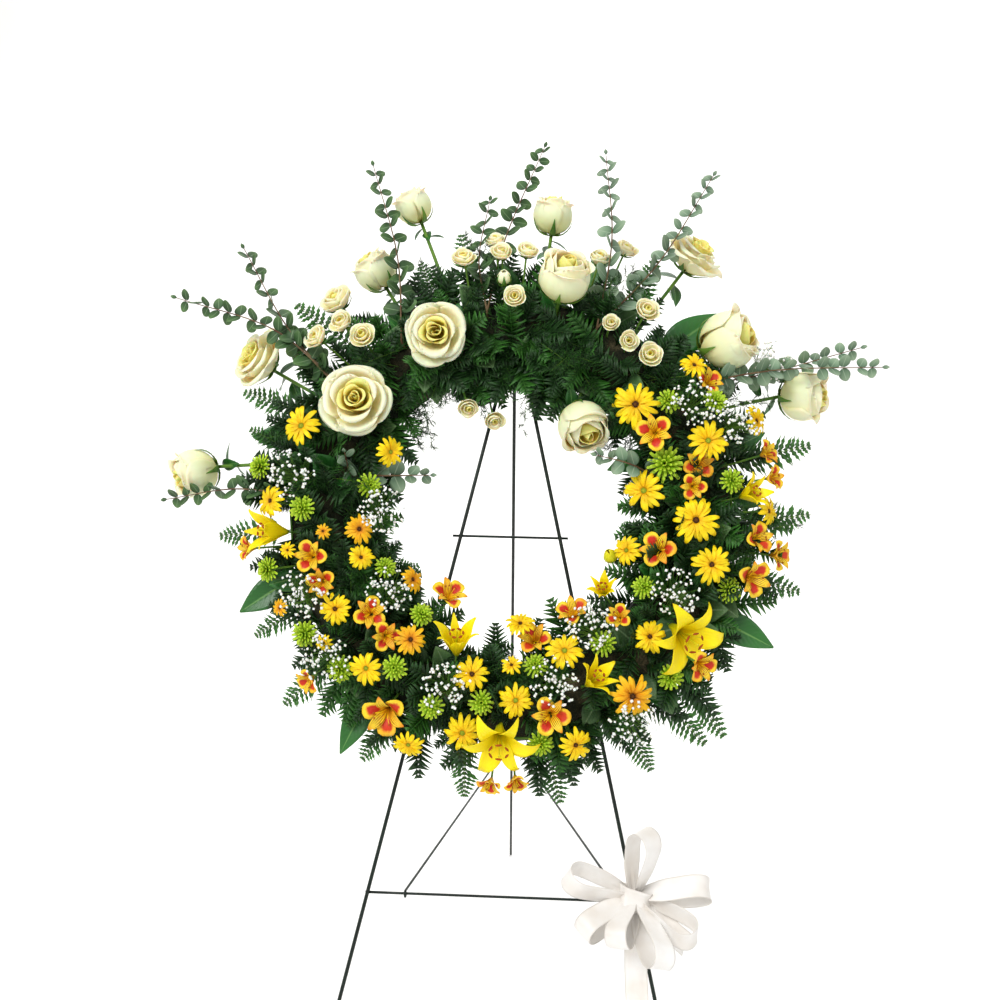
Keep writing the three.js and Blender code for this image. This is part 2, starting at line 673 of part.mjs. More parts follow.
const SPRAYS = [
  ['lily_left', 'lily', 'outer', [[-290, -36, 66, 'halfLily', -0.8, 0]]],
  ['lily_bottom', 'lily', 'outer', [[-4, -278, 90, 'lily', 0, -0.5],
    [-58, -160, 64, 'halfLily', -0.1, 0.7]]],
  ['lily_right', 'lily', 'outer', [[212, -150, 96, 'lily', 0.4, -0.4],
    [106, -200, 56, 'halfLily', 0.6, 0.5],
    [115, -95, 42, 'halfLily', 0.2, 0.2], [126, -54, 18, 'bud', 0, 0.6]]],
  ['lily_upper_right', 'lily', 'outer', [[290, 24, 50, 'halfLily', 0.4, 0.2]]],
  ['spray_roses_left', 'rose', 'outer', [[-225, 262, 44, 'sprayRose', -0.2, 0.2],
    [-214, 226, 32, 'sprayRose', 0, 0],
    [-244, 208, 32, 'sprayRose', -0.3, 0], [-186, 206, 32, 'sprayRose', 0.1, 0]]],
  ['spray_roses_top', 'rose', 'low', [[-65, 312, 32, 'sprayRose', 0, 0.2],
    [-28, 348, 28, 'sprayRose', -0.2, 0.4],
    [-18, 322, 28, 'sprayRose', 0, 0], [13, 325, 28, 'sprayRose', 0.2, 0.2],
    [0, 258, 28, 'sprayRose', 0, 0],
    [-14, 286, 18, 'bud', 0, 0.4], [-55, 128, 26, 'sprayRose', 0, -0.4],
    [-24, 118, 26, 'sprayRose', 0.2, -0.4]]],
  ['spray_roses_right', 'rose', 'outer', [[105, 320, 30, 'sprayRose', 0, 0.3],
    [140, 346, 30, 'sprayRose', 0.2, 0.3],
    [118, 228, 22, 'sprayRose', 0, 0], [140, 206, 24, 'sprayRose', 0, -0.2],
    [162, 246, 30, 'sprayRose', 0, 0],
    [166, 188, 30, 'sprayRose', 0, 0]]],
  ['daisies_left', 'daisy', 'low', [[-255, 92, 50, 'daisy', 0, 0], [-148, 65, 38, 'daisy', 0.2, 0],
    [-288, 0, 40, 'daisy', -0.2, 0], [-180, -32, 38, 'daisy', 0, 0], [-176, -66, 34, 'daisy', 0, 0],
    [-262, -60, 22, 'daisy', 0, 0], [-222, -36, 20, 'daisy', 0, 0]]],
  ['daisies_lower_left', 'daisy', 'low', [[-116, -90, 34, 'daisy', 0.7, 0],
    [-270, -128, 24, 'daisy', -0.2, 0], [-202, -128, 42, 'daisy', 0, 0],
    [-214, -168, 22, 'daisy', 0, 0], [-162, -196, 42, 'daisy', 0, 0], [-112, -162, 40, 'daisy', 0, 0],
    [-110, -282, 36, 'daisy', 0, -0.2]]],
  ['daisies_bottom', 'daisy', 'low', [[-38, -200, 45, 'daisy', 0, 0], [-48, -268, 46, 'daisy', 0, 0],
    [8, -188, 26, 'daisy', 0, 0], [14, -228, 42, 'daisy', 0, 0], [17, -140, 36, 'daisy', 0, 0.2],
    [84, -276, 42, 'daisy', 0.2, 0], [70, -170, 46, 'daisy', 0, 0]]],
  ['daisies_right', 'daisy', 'low', [[170, -150, 42, 'daisy', 0, 0], [148, -218, 52, 'daisy', 0.1, -0.1],
    [163, 24, 54, 'daisy', -0.1, 0], [222, -12, 58, 'daisy', 0, 0], [240, -64, 48, 'daisy', 0, 0],
    [144, -48, 40, 'daisy', -0.2, 0], [312, 5, 40, 'daisy', 0.7, 0]]],
  ['daisies_upper_right', 'daisy', 'low', [[150, 128, 60, 'daisy', 0, 0], [236, 84, 50, 'daisy', 0, 0],
    [220, 178, 36, 'daisy', 0, 0.2], [296, 114, 42, 'daisy', 0.6, 0]]],
  ['mums_left', 'mum', 'inner', [[-308, 44, 36, 'mum', -0.2, 0], [-250, -8, 36, 'mum', 0, 0],
    [-172, 23, 34, 'mum', 0, 0],
    [-290, -82, 34, 'mum', -0.2, 0], [-148, -76, 30, 'mum', 0, 0], [-240, -158, 36, 'mum', 0, 0]]],
  ['mums_bottom', 'mum', 'inner', [[-102, -132, 32, 'mum', 0, 0], [-195, -198, 36, 'mum', 0, 0],
    [-130, -195, 34, 'mum', 0, 0], [-85, -238, 34, 'mum', 0, 0], [-26, -232, 34, 'mum', 0, 0],
    [36, -188, 32, 'mum', 0, 0], [44, -278, 34, 'mum', 0, 0], [115, -160, 34, 'mum', 0, 0]]],
  ['mums_right', 'mum', 'inner', [[196, -196, 36, 'mum', 0, 0], [188, 58, 50, 'mum', 0, 0],
    [190, 134, 34, 'mum', 0, 0],
    [246, 134, 34, 'mum', 0, 0], [266, 38, 34, 'mum', 0, 0], [266, -92, 34, 'mum', 0, 0],
    [163, -92, 32, 'mum', 0, 0]]],
  ['alstroemeria_left', 'alstroemeria', 'high', [[-236, -66, 42, 'alstroemeria', 0, 0],
    [-222, -96, 38, 'alstroemeria', 0, -0.2], [-162, -132, 42, 'alstroemeria', 0, 0],
    [-142, -158, 38, 'alstroemeria', 0.2, -0.2], [-138, -246, 56, 'alstroemeria', 0, -0.2],
    [-234, -212, 34, 'alstroemeria', -0.3, -0.3], [-318, -56, 34, 'alstroemeria', -0.6, 0],
    [-72, -108, 46, 'alstroemeria', 0, 0.2]]],
  ['alstroemeria_bottom', 'alstroemeria', 'high', [
    [34, -158, 42, 'alstroemeria', 0, 0], [80, -125, 42, 'alstroemeria', 0, 0.2],
    [134, -128, 32, 'alstroemeria', 0, 0],
    [55, -244, 48, 'alstroemeria', 0, 0], [-14, -326, 32, 'alstroemeria', -0.3, -0.6],
    [16, -322, 32, 'alstroemeria', 0.3, -0.6], [224, -180, 40, 'alstroemeria', 0.3, -0.2]]],
  ['alstroemeria_right', 'alstroemeria', 'high', [[180, -47, 46, 'alstroemeria', 0, 0],
    [172, 92, 46, 'alstroemeria', 0, 0], [228, 58, 40, 'alstroemeria', 0, 0],
    [220, 30, 34, 'alstroemeria', 0, -0.2],
    [240, 162, 36, 'alstroemeria', 0, 0], [296, -30, 42, 'alstroemeria', 0.2, 0.2],
    [324, -48, 40, 'alstroemeria', 0.5, 0], [290, -76, 48, 'alstroemeria', 0.1, -0.2],
    [318, 46, 34, 'alstroemeria', 0.4, 0], [311, 76, 34, 'alstroemeria', 0.4, 0.2]]],
];

function petalsFor(size) {
  if (size >= 46) return 7;
  return size >= 34 ? 6 : 5;
}

function turnOf(place) {
  return Math.atan2(place.y, place.x);
}

function settleSprays() {
  const sprays = SPRAYS.map(([owner, colour, track, heads]) => (
    { owner, colour, track, heads, blooms: [] }));
  const queue = sprays.flatMap((spray) => spray.heads.map((head, i) => ({ spray, head, i })));
  queue.sort((a, b) => b.head[2] - a.head[2]);
  for (const { spray, head, i } of queue) {
    const [u, v, size, kind, leanU, leanV] = head;
    const facing = bloomFacing(u, v, [leanU, leanV]);
    const shape = BLOOMS[kind](size / 2, petalsFor(size));
    const sink = kind === 'mum' || kind === 'alstroemeria' ? 10 : 2;
    const settled = settle(spray.owner, shape, u, v, facing, i * 0.7, crown(u, v) - sink);
    if (settled) spray.blooms.push(settled);
  }
  return sprays;
}

// The bundle of stems, from the first bloom's side of the ring to the last one's.
function bundle(owner, track, angles) {
  const [out, top] = TRACKS[track];
  const low = Math.min(...angles) - 2 * DEG;
  const high = Math.max(...angles) + 2 * DEG;
  const n = top + GAP + BUNDLE_R;
  claim(cellsOfLine(bundleLine(out, n, low, high), BUNDLE_R), owner);
  const side = BUNDLE_R * 0.87;
  const corners = [[0, -BUNDLE_R], [-side, BUNDLE_R / 2], [side, BUNDLE_R / 2]];
  return { low, high, out, n, body: mossBundle(out, n, low, high, corners) };
}

function sprayAngles(blooms) {
  const middle = blooms.reduce((sum, b) => sum.add(vec(b.place.x, b.place.y, 0)), vec(0, 0, 0));
  const centre = turnOf(middle);
  return blooms.map((b) => {
    let turn = turnOf(b.place);
    while (turn - centre > Math.PI) turn -= 2 * Math.PI;
    while (turn - centre < -Math.PI) turn += 2 * Math.PI;
    return turn;
  });
}

function layBundles(sprays) {
  for (const spray of sprays) {
    spray.angles = sprayAngles(spray.blooms);
    spray.line = bundle(spray.owner, spray.track, spray.angles);
  }
}

function rootsOnBundle(line, angle) {
  return ROOT_TURNS.map((turn) => {
    const held = Math.min(line.high, Math.max(line.low, angle + turn * DEG));
    return onMoss(line.out, held, line.n);
  });
}

function addSprayStems(sprays) {
  for (const { owner, colour, blooms, angles, line } of sprays) {
    const parts = [line.body];
    blooms.forEach((b, i) => {
      const way = route(owner, b.bloomAt.bottom, rootsOnBundle(line, angles[i]), 1.5, 7);
      if (way) parts.push(stemmed(b.bloomAt, way, 1.5));
    });
    addNode(wreath, owner, joined(parts), colour);
  }
}

// Baby's breath: tufts of tiny flowers on thin stalks, [across, up] each
const BREATH = [
  ['babys_breath_left', 'brim', [[-262, 30], [-152, -8], [-241, -112], [-138, -104], [-210, -186],
    [-66, -216]]],
  ['babys_breath_right', 'brim', [[58, -206], [100, -140], [150, -250], [196, -98], [218, 128],
    [274, 112], [325, 200]]],
];
const TUFT = [[9, 6, 3], [-8, -7, 4]];
const TINY_R = 3.9;

// A tiny flower on a stalk that thickens into it.
function tuftShape(at) {
  const ring = [[1, 0], [0, 1], [-1, 0], [0, -1]].map(([x, y]) => at.clone().add(vec(TINY_R * x, TINY_R * y, 0)));
  return { rings: [ring], top: at.clone().add(vec(0, 0, TINY_R)), axis: vec(1, 0, 0) };
}

function addBabysBreath() {
  for (const [owner, track, tufts] of BREATH) {
    const places = tufts.map(([u, v]) => ({ place: vec(u, v, crown(u, v) + 12) }));
    const angles = sprayAngles(places);
    const line = bundle(owner, track, angles);
    const parts = [line.body];
    places.forEach(({ place }, k) => {
      const foot = place.clone().add(vec(0, 0, -16));
      const way = route(owner, foot, rootsOnBundle(line, angles[k]), 1.1, 7);
      if (!way) return;
      const crownFlower = tuftShape(place.clone().add(vec(0, 0, 6)));
      claim(cellsOfSurface(skin(foot, crownFlower.rings, crownFlower.top)), owner);
      parts.push(stemmed(crownFlower, way, 1.1));
      for (const [du, dv, dn] of TUFT) {
        const shape = tuftShape(place.clone().add(vec(du, dv, dn)));
        const flower = skin(foot.clone().add(vec(0, 0, -1.5)), shape.rings, shape.top);
        const cells = cellsOfSurface(flower);
        if (!isFree(cells, owner)) continue;
        claim(cells, owner);
        parts.push(solid(flower));
      }
    });
    addNode(wreath, owner, joined(parts), 'breath');
  }
}

// Leaves

function bladeRows(points, widths, up) {
  return points.map((point, i) => {
    const before = points[Math.max(0, i - 1)];
    const after = points[Math.min(points.length - 1, i + 1)];
    const along = after.clone().sub(before).normalize();
    const across = along.clone().cross(up).normalize();
    return [point, across.clone().multiplyScalar(widths[i]), across.cross(along).normalize()];
  });
}

const LEAFLETS = 4;

// A frond is one arched blade whose outline is cut into leaflets down to near the rib.
function frond(root, way, length, width, sag) {
  const rows = [];
  const widths = [];
  const count = 2 * LEAFLETS + 1;
  for (let i = 0; i < count; i += 1) {
    const t = i / (count - 1);
    const point = root.clone().addScaledVector(way, length * t);
    point.z -= sag * t * t;
    rows.push(point);
    const taper = Math.sin(Math.PI * Math.min(1, 0.16 + 0.84 * t));
    widths.push(i % 2 === 1 ? Math.max(2.2, width * taper) : Math.max(1.3, width * taper * 0.3));
  }
  return bladeRows(rows, widths, vec(0, 0, 1));
}

function broadLeaf(root, way, length, width, sag) {
  const rows = [0, 0.2, 0.5, 0.8, 1].map((t) => {
    const point = root.clone().addScaledVector(way, length * t);
    point.z -= sag * t * t;
    return point;
  });
  return bladeRows(rows, [1.5, width * 0.7, width, width * 0.65, 1], vec(0, 0, 1));
}

// Greens: each sector has a stem bundle on the shoulder of the moss, and blades that leave it.
// A blade is [angle in degrees, length, half width, rise, kind, turn sideways].
const GREENS = [
  ['greens_left', 1, 128, 212, [[134, 118, 19, 0.25, 'frond', 0.2], [146, 120, 20, 0.1, 'frond', 0],
    [158, 140, 22, 0.15, 'frond', 0.1], [164, 84, 22, 0.5, 'leaf', 0.4],
    [172, 110, 18, 0.3, 'frond', -0.2],
    [186, 96, 18, 0.1, 'frond', 0], [196, 84, 20, 0.2, 'leaf', 0.3], [206, 100, 18, 0.1, 'frond', 0.1]]],
  ['greens_bottom', 1, 216, 300, [[220, 92, 18, 0.1, 'frond', 0], [232, 84, 17, 0.2, 'leaf', 0.2],
    [242, 80, 18, 0.1, 'frond', -0.1], [256, 78, 17, 0.1, 'frond', 0.2],
    [284, 84, 18, 0.1, 'frond', 0.1], [296, 84, 17, 0.1, 'frond', 0]]],
  ['greens_right', 1, 304, 388, [[308, 96, 18, 0.1, 'frond', 0.1], [320, 104, 19, 0.1, 'frond', -0.2],
    [334, 84, 19, 0.2, 'leaf', 0], [346, 96, 17, 0.1, 'frond', 0], [358, 100, 17, 0.2, 'frond', 0.2],
    [372, 112, 20, 0.2, 'frond', 0], [384, 104, 20, 0.3, 'leaf', 0.2]]],
  ['greens_top', 1, 392, 484, [[396, 118, 20, 0.2, 'frond', 0], [408, 96, 22, 0.3, 'leaf', -0.2],
    [420, 108, 18, 0.2, 'frond', 0.1], [434, 92, 18, 0.3, 'leaf', 0.2],
    [460, 104, 18, 0.2, 'frond', 0.1], [474, 96, 19, 0.2, 'frond', 0]]],
  ['greens_inner_left', -1, 196, 226, [[200, 58, 13, 0.4, 'frond', 0.3], [212, 62, 13, 0.3, 'frond', 0],
    [222, 58, 13, 0.5, 'leaf', -0.2]]],
  ['greens_inner_right', -1, 334, 384, [[338, 58, 13, 0.4, 'frond', -0.2],
    [352, 56, 13, 0.3, 'frond', 0.2],
    [366, 58, 13, 0.4, 'frond', 0], [380, 62, 14, 0.5, 'leaf', 0]]],
  ['greens_inner_top', -1, 62, 122, [[66, 56, 12, 0.5, 'frond', 0.2], [80, 56, 12, 0.4, 'frond', 0],
    [96, 56, 12, 0.4, 'frond', 0.1], [112, 60, 13, 0.5, 'frond', -0.2]]],
];
const SHOULDER_R = 2;
const SHOULDER_OUT = MOSS_SECTION[6][0] + 0.7 * (SHOULDER_R + GAP);
const SHOULDER_N = MOSS_SECTION[6][1] + 0.7 * (SHOULDER_R + GAP);
const BLADE_THICKNESS = 0.9;

function greensBundle(owner, side, from, to) {
  const out = side * SHOULDER_OUT;
  claim(cellsOfLine(bundleLine(out, SHOULDER_N, from * DEG, to * DEG), SHOULDER_R), owner);
  const half = SHOULDER_R * 0.7;
  const corners = [[-half, -half], [-half, half], [half, half], [half, -half]];
  return mossBundle(out, SHOULDER_N, from * DEG, to * DEG, corners);
}

// What a blade may try: more turn in degrees, more rise, and the part of its size it keeps.
const BLADE_TRIES = [
  [0, 0, 1], [2, 0, 1], [-2, 0, 1], [0, -0.15, 1], [0, 0.2, 1], [4, 0, 1], [-4, 0, 1], [0, 0, 0.8],
  [3, -0.15, 0.8], [-3, -0.15, 0.8], [0, -0.25, 0.7], [6, 0.2, 0.7], [-6, 0.2, 0.7], [0, -0.2, 0.5],
  [7, -0.2, 0.6], [-7, -0.2, 0.6],
];

function addGreens() {
  for (const [owner, side, from, to, blades] of GREENS) {
    const parts = [greensBundle(owner, side, from, to)];
    for (const [degrees, length, width, rise, kind, sideways] of blades) {
      let fitted = null;
      for (const [turn, lift, cut] of BLADE_TRIES) {
        const angle = (degrees + turn) * DEG;
        const root = onMoss(side * SHOULDER_OUT, angle, SHOULDER_N);
        const way = polar(side, angle, 0).add(polar(sideways, angle + Math.PI / 2, 0));
        way.normalize().setZ(rise + lift).normalize();
        const rows = kind === 'frond'
          ? frond(root, way, length * cut, width * cut, length * 0.16)
          : broadLeaf(root, way, length * cut, width * cut, length * 0.14);
        const body = blade(rows, BLADE_THICKNESS);
        const cells = cellsOfSurface(geometryOf(body));
        if (isFree(cells, owner)) {
          claim(cells, owner);
          fitted = body;
          break;
        }
      }
      if (fitted) parts.push(fitted);
      else console.warn(`no room for a blade of ${owner} at ${degrees}`);
    }
    addNode(wreath, owner, joined(parts), 'fern');
  }
}

// Eucalyptus: stems with round leaves in pairs. The first numbers are the root's angle in degrees and how
// far outward of the core it stands. Each stem is [tip across, tip up, tip height, pairs].
const EUCALYPTUS = [
  ['eucalyptus_top_left', 124, 13, [[-188, 436, 60, 5]]],
  ['eucalyptus_top', 98, 13, [[28, 476, 40, 5], [-38, 405, 40, 4]]],
  ['eucalyptus_top_right', 62, 13, [[112, 455, 62, 4], [242, 430, 60, 4]]],
  ['eucalyptus_right', 34, 13, [[432, 216, 62, 6], [446, 182, 96, 4]]],
  ['eucalyptus_left', 146, 13, [[-420, 256, 70, 6], [-345, 322, 62, 5]]],
  ['eucalyptus_far_left', 178, 13, [[-434, 6, 48, 5]]],
  ['eucalyptus_inner_left', 168, -32, [[-200, 60, 110, 3], [-100, 40, 76, 3]]],
  ['eucalyptus_inner_right', 14, -32, [[106, 68, 84, 4]]],
];
const LEAF_HALF = 19;
const STEM_HALF = 1.7;

// A leafy stem in one body: narrow and nearly square between the leaves, and wide and thin across each
// pair of round leaves. The pairs turn one way and the other about the stem.
function leafyStem(points, pairs) {
  const curve = new THREE.CatmullRomCurve3(points);
  const rings = [];
  const addRow = (t, half, thick, roll) => {
    const along = curve.getTangent(t);
    const across = along.clone().cross(vec(0, 0, 1)).normalize().applyAxisAngle(along, roll);
    const lift = across.clone().cross(along).normalize().multiplyScalar(thick);
    const centre = curve.getPoint(t);
    const side = across.multiplyScalar(half);
    rings.push([centre.clone().sub(side).add(lift), centre.clone().add(side).add(lift),
      centre.clone().add(side).sub(lift), centre.clone().sub(side).sub(lift)]);
  };
  addRow(0, STEM_HALF, STEM_HALF, 0);
  addRow(0.2, STEM_HALF, STEM_HALF, 0);
  for (let i = 0; i < pairs; i += 1) {
    const span = 0.78 / pairs;
    const t = 0.22 + span * i;
    const half = LEAF_HALF * (1 - 0.35 * t);
    const roll = (i % 2 ? 0.6 : -0.6);
    addRow(t + span * 0.12, half * 0.55, BLADE_THICKNESS / 2, roll);
    addRow(t + span * 0.5, half, BLADE_THICKNESS / 2, roll);
    addRow(t + span * 0.82, half * 0.55, BLADE_THICKNESS / 2, roll);
    if (i + 1 < pairs) addRow(t + span * 0.99, STEM_HALF, STEM_HALF * 0.8, 0);
  }
  const middle = (ring) => ring.reduce((sum, p) => sum.add(p), vec(0, 0, 0)).divideScalar(4);
  return skin(middle(rings[0]), rings, middle(rings[rings.length - 1]));
}

const STEM_BOWS = [8, 0, 20, -8, 32, -20, -30]
  .flatMap((rise) => [0, 12, -12, 26, -26].map((sway) => [rise, sway]));

// The knot where a sprig forks, just above the moss, and its stem down into the moss.
function eucalyptusFoot(owner, degrees, out) {
  for (const turn of [0, 4, -4, 8, -8, 12, -12]) {
    for (const rise of [14, 8, 22]) {
      const knot = polar(CORE_R + out * 1.5, (degrees + turn) * DEG, mossTop(out) + rise);
      const sunk = sinkStem(owner, knot, (degrees + turn) * DEG, out, 2);
      if (sunk) return { knot, sunk };
    }
  }
  return { knot: null, sunk: null };
}

function addEucalyptus() {
  for (const [owner, degrees, out, stems] of EUCALYPTUS) {
    const { knot, sunk } = eucalyptusFoot(owner, degrees, out);
    if (!sunk) continue;
    const rings = stemRings(sunk, 2, vec(0, 0, 1));
    cutHole(rings[0], sunk[sunk.length - 1], 2);
    const parts = [solid(skin(sunk[sunk.length - 1], rings, knot))];
    for (const [u, v, n, pairs] of stems) {
      const tip = vec(u, v, n);
      const across = tip.clone().sub(knot).cross(vec(0, 0, 1)).normalize();
      let body = null;
      for (const [rise, sway] of STEM_BOWS) {
        const middle = knot.clone().lerp(tip, 0.5).addScaledVector(across, sway).add(vec(0, 0, rise));
        const stem = leafyStem([knot, middle, tip], pairs);
        const cells = cellsOfSurface(stem);
        if (isFree(cells, owner)) {
          claim(cells, owner);
          body = stem;
          break;
        }
      }
      if (body) parts.push(solid(body));
      else console.warn(`no way for ${owner} to ${u}, ${v}`);
    }
    addNode(wreath, owner, joined(parts), 'eucalyptus');
  }
}

// Bow: satin ribbon loops tied to the right front leg. Each loop is [direction in degrees, length,
// tilt out of the plane]; the tails hang down.
const RIBBON_W = 27;
const RIBBON_T = 0.9;
const BOW_DOWN = 722;
const BOW_N = 8;
const LOOPS = [[84, 96, 0.5], [162, 92, 0.3], [206, 86, 0.55], [12, 92, 0.3], [-26, 88, 0.6],
  [-66, 98, 0.9],
  [-124, 76, 0.9]];
const TAILS = [[-88, 178, 8], [-34, 84, 22]];

function ribbonLoop(length) {
  const half = length / 2;
  const outline = new THREE.Shape();
  const outer = [[9, -2], [half * 1.2, -13], [length, -7], [length, 7], [half * 1.2, 13], [9, 2]];
  outline.setFromPoints(outer.map(([x, y]) => new THREE.Vector2(x, y)));
  const inner = outer.map(([x, y]) => {
    const scaleY = (Math.abs(y) - RIBBON_T) / Math.abs(y);
    return new THREE.Vector2(x - RIBBON_T * (x >= length ? 1 : -3), y * Math.max(0.4, scaleY));
  });
  outline.holes.push(new THREE.Path(inner));
  const loop = new THREE.ExtrudeGeometry(outline, { depth: RIBBON_W, bevelEnabled: false });
  loop.translate(0, 0, -RIBBON_W / 2);
  const position = loop.attributes.position;
  for (let i = 0; i < position.count; i += 1) {
    const gather = Math.min(1, 0.3 + (0.7 * Math.max(0, position.getX(i) - 4)) / half);
    position.setZ(i, position.getZ(i) * gather);
  }
  return loop;
}

function addBow() {
  const centre = onPlane(LEG_SPREAD * BOW_DOWN, BOW_DOWN, BOW_N);
  const knot = new THREE.IcosahedronGeometry(12, 0);
  knot.scale(1, 1, 0.9).translate(centre.x, centre.y, centre.z + 3);
  const parts = [solid(knot)];
  for (const [degrees, length, tilt] of LOOPS) {
    const loop = ribbonLoop(length);
    const matrix = new THREE.Matrix4().makeRotationZ(degrees * DEG);
    matrix.multiply(new THREE.Matrix4().makeRotationY(-tilt));
    matrix.multiply(new THREE.Matrix4().makeRotationX(Math.PI / 2 - 0.5));
    matrix.setPosition(centre.x, centre.y, centre.z + 4);
    parts.push(solid(loop.applyMatrix4(matrix)));
  }
  for (const [degrees, length, wave] of TAILS) {
    const way = polar(1, degrees * DEG, 0);
    const rows = [0, 0.25, 0.5, 0.75, 1].map((t, i) => centre.clone()
      .addScaledVector(way, length * t).add(vec(0, 0, 3 + (i % 2 ? wave : 0))));
    const widths = rows.map((row, i) => (i === 0 ? 0.15 : 0.5) * RIBBON_W);
    parts.push(blade(bladeRows(rows, widths, vec(0, 0, 1)), RIBBON_T));
  }
  const bow = joined(parts);
  const legRoom = cutRod(legPoint(1, 560), legPoint(1, 960), LEG_R + GAP, 8,
    [[legPoint(1, 560), vec(0, -1, 0)], [legPoint(1, 960), vec(0, -1, 0)]]);
  addNode(leaning, 'bow', joined([bow.subtract(legRoom)]), 'satin');
}

// Build order: what is fixed first, then blooms, stems, and the leaves that fit between them.
addEasel();
addRearLeg();
addSpreader();
addWireForm();
const moss = mossSolid();
const roses = addRoses();
const sprays = settleSprays();
layBundles(sprays);
addRoseStems(roses);
addSprayStems(sprays);
addEucalyptus();
addBabysBreath();
addGreens();
addTiesAndMoss(moss);
addBow();

model.position.y = -rearLegLine().foot.y;

export default model;
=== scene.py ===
"""The looks of a standing funeral wreath: flowers, greens and moss on a ring, a wire easel and a satin bow.

Places on the wreath are [across, up, out of the plane] in millimetres, measured in the easel's leaning
plane from the ring's centre. They become metres in the frame only when a piece is made.
"""

import json
from functools import lru_cache
from math import atan2, cos, floor, hypot, pi, sin, sqrt, tan

import bpy
import numpy as np
from mathutils import Matrix, Vector
from mathutils.kdtree import KDTree


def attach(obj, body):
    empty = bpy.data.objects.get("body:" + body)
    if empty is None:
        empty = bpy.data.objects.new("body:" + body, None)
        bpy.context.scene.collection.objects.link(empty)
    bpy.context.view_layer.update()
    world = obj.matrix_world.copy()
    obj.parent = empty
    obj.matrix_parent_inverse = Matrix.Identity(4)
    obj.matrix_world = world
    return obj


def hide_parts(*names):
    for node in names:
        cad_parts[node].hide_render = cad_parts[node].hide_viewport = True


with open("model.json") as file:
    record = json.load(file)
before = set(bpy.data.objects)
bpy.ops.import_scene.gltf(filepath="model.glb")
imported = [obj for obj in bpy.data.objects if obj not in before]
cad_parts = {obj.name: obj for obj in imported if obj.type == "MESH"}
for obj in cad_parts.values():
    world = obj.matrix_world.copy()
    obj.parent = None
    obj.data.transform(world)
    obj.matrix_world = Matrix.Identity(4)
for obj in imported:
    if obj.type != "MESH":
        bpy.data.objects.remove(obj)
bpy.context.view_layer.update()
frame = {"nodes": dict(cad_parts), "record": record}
RANDOM = np.random.default_rng(11)
uniform, gauss = RANDOM.uniform, RANDOM.normal
DEG = pi / 180
TURN = 2 * pi
UP_Z = np.array([0, 0, 1.0])

# The easel, as in the CAD source, in millimetres.
LEG_LENGTH = 1067
LEAN = 16.4 * DEG
LEG_SPREAD = 0.2259
LEG_TOP = 40
HINGE_DOWN = 80
UPPER_BAR_DOWN = 284
UPPER_BAR_HALF = 75
LOWER_BAR_DOWN = 731
REAR_FOOT_Y = 800
SPREADER_HEIGHT = 291
HOOK_X = {"spreader_left": -118, "spreader_right": 150}
LEG_R = 2.38
WIRE_R = 1.6
RUNNING_GAP = 0.4
GAP = 0.3
FOOT_LINE = next(m["pos_m"][1] for m in frame["record"]["mounts"] if m["name"] == "front_foot_left") * 1000

# The ring.
RING_DOWN = 258
CORE_R = 235
FRAME_INNER_R = 208
FRAME_OUTER_R = 262
FRAME_N = LEG_R + GAP + WIRE_R
MOSS_BACK = FRAME_N + WIRE_R + GAP
MOSS_STEP = TURN / 26
MOSS_FALL = 0.0085
MOSS_SECTION = [[-46, MOSS_BACK], [-46, 24], [-42, 42], [-22, 56], [-8, 60], [6, 60], [20, 57], [42, 42],
                [46, 24], [46, MOSS_BACK], [0, MOSS_BACK]]
SHOULDER_OUT = 42 + 0.7 * 2.3
SHOULDER_N = 42 + 0.7 * 2.3
BLOOM_REACH = 118
BLOOM_FOOT = 42
BLOOM_RISE = 66
HEIGHT_TRIES = [0, -6, 6, -12, 12, -18, 18, -24, 24, 30, 36, -30]

UP = np.array([0, sin(LEAN), cos(LEAN)])
OUT = np.array([0, -cos(LEAN), sin(LEAN)])
ACROSS = np.array([1.0, 0, 0])


def vec(x, y, z):
    return np.array([x, y, z], float)


def unit(v):
    return v / (np.linalg.norm(v) + 1e-12)


def plane_to_world(points, down=0):
    """Points of the leaning plane, measured from the apex or from a centre below it, as metres."""
    points = np.asarray(points, float)
    apex = vec(0, FOOT_LINE, 0) + UP * (LEG_LENGTH - down)
    return (apex + points[..., :1] * ACROSS + points[..., 1:2] * UP + points[..., 2:] * OUT) / 1000


def wreath_to_world(points):
    return plane_to_world(points, RING_DOWN)


def floor_to_world(points):
    """Points measured from the line of the front feet, as metres."""
    return (np.asarray(points, float) + vec(0, FOOT_LINE, 0)) / 1000


# Meshes


@lru_cache(maxsize=None)
def grid_quads(rows, columns, around=False):
    r, c = np.meshgrid(np.arange(rows - 1), np.arange(columns if around else columns - 1), indexing="ij")
    after = (c + 1) % columns
    quads = [r * columns + c, (r + 1) * columns + c, (r + 1) * columns + after, r * columns + after]
    return np.stack(quads, axis=-1).reshape(-1, 4)


@lru_cache(maxsize=None)
def sheet_quads(rows, columns):
    """Both faces of a thin sheet and its rim."""
    front = grid_quads(rows, columns)
    size = rows * columns
    edge = [r * columns for r in range(rows)]
    edge += [(rows - 1) * columns + c for c in range(1, columns)]
    edge += [r * columns + columns - 1 for r in range(rows - 2, -1, -1)]
    edge += list(range(columns - 2, 0, -1))
    a = np.array(edge)
    b = np.roll(a, -1)
    rim = np.stack([b, a, a + size, b + size], axis=-1)
    return np.concatenate([front, front[:, ::-1] + size, rim])


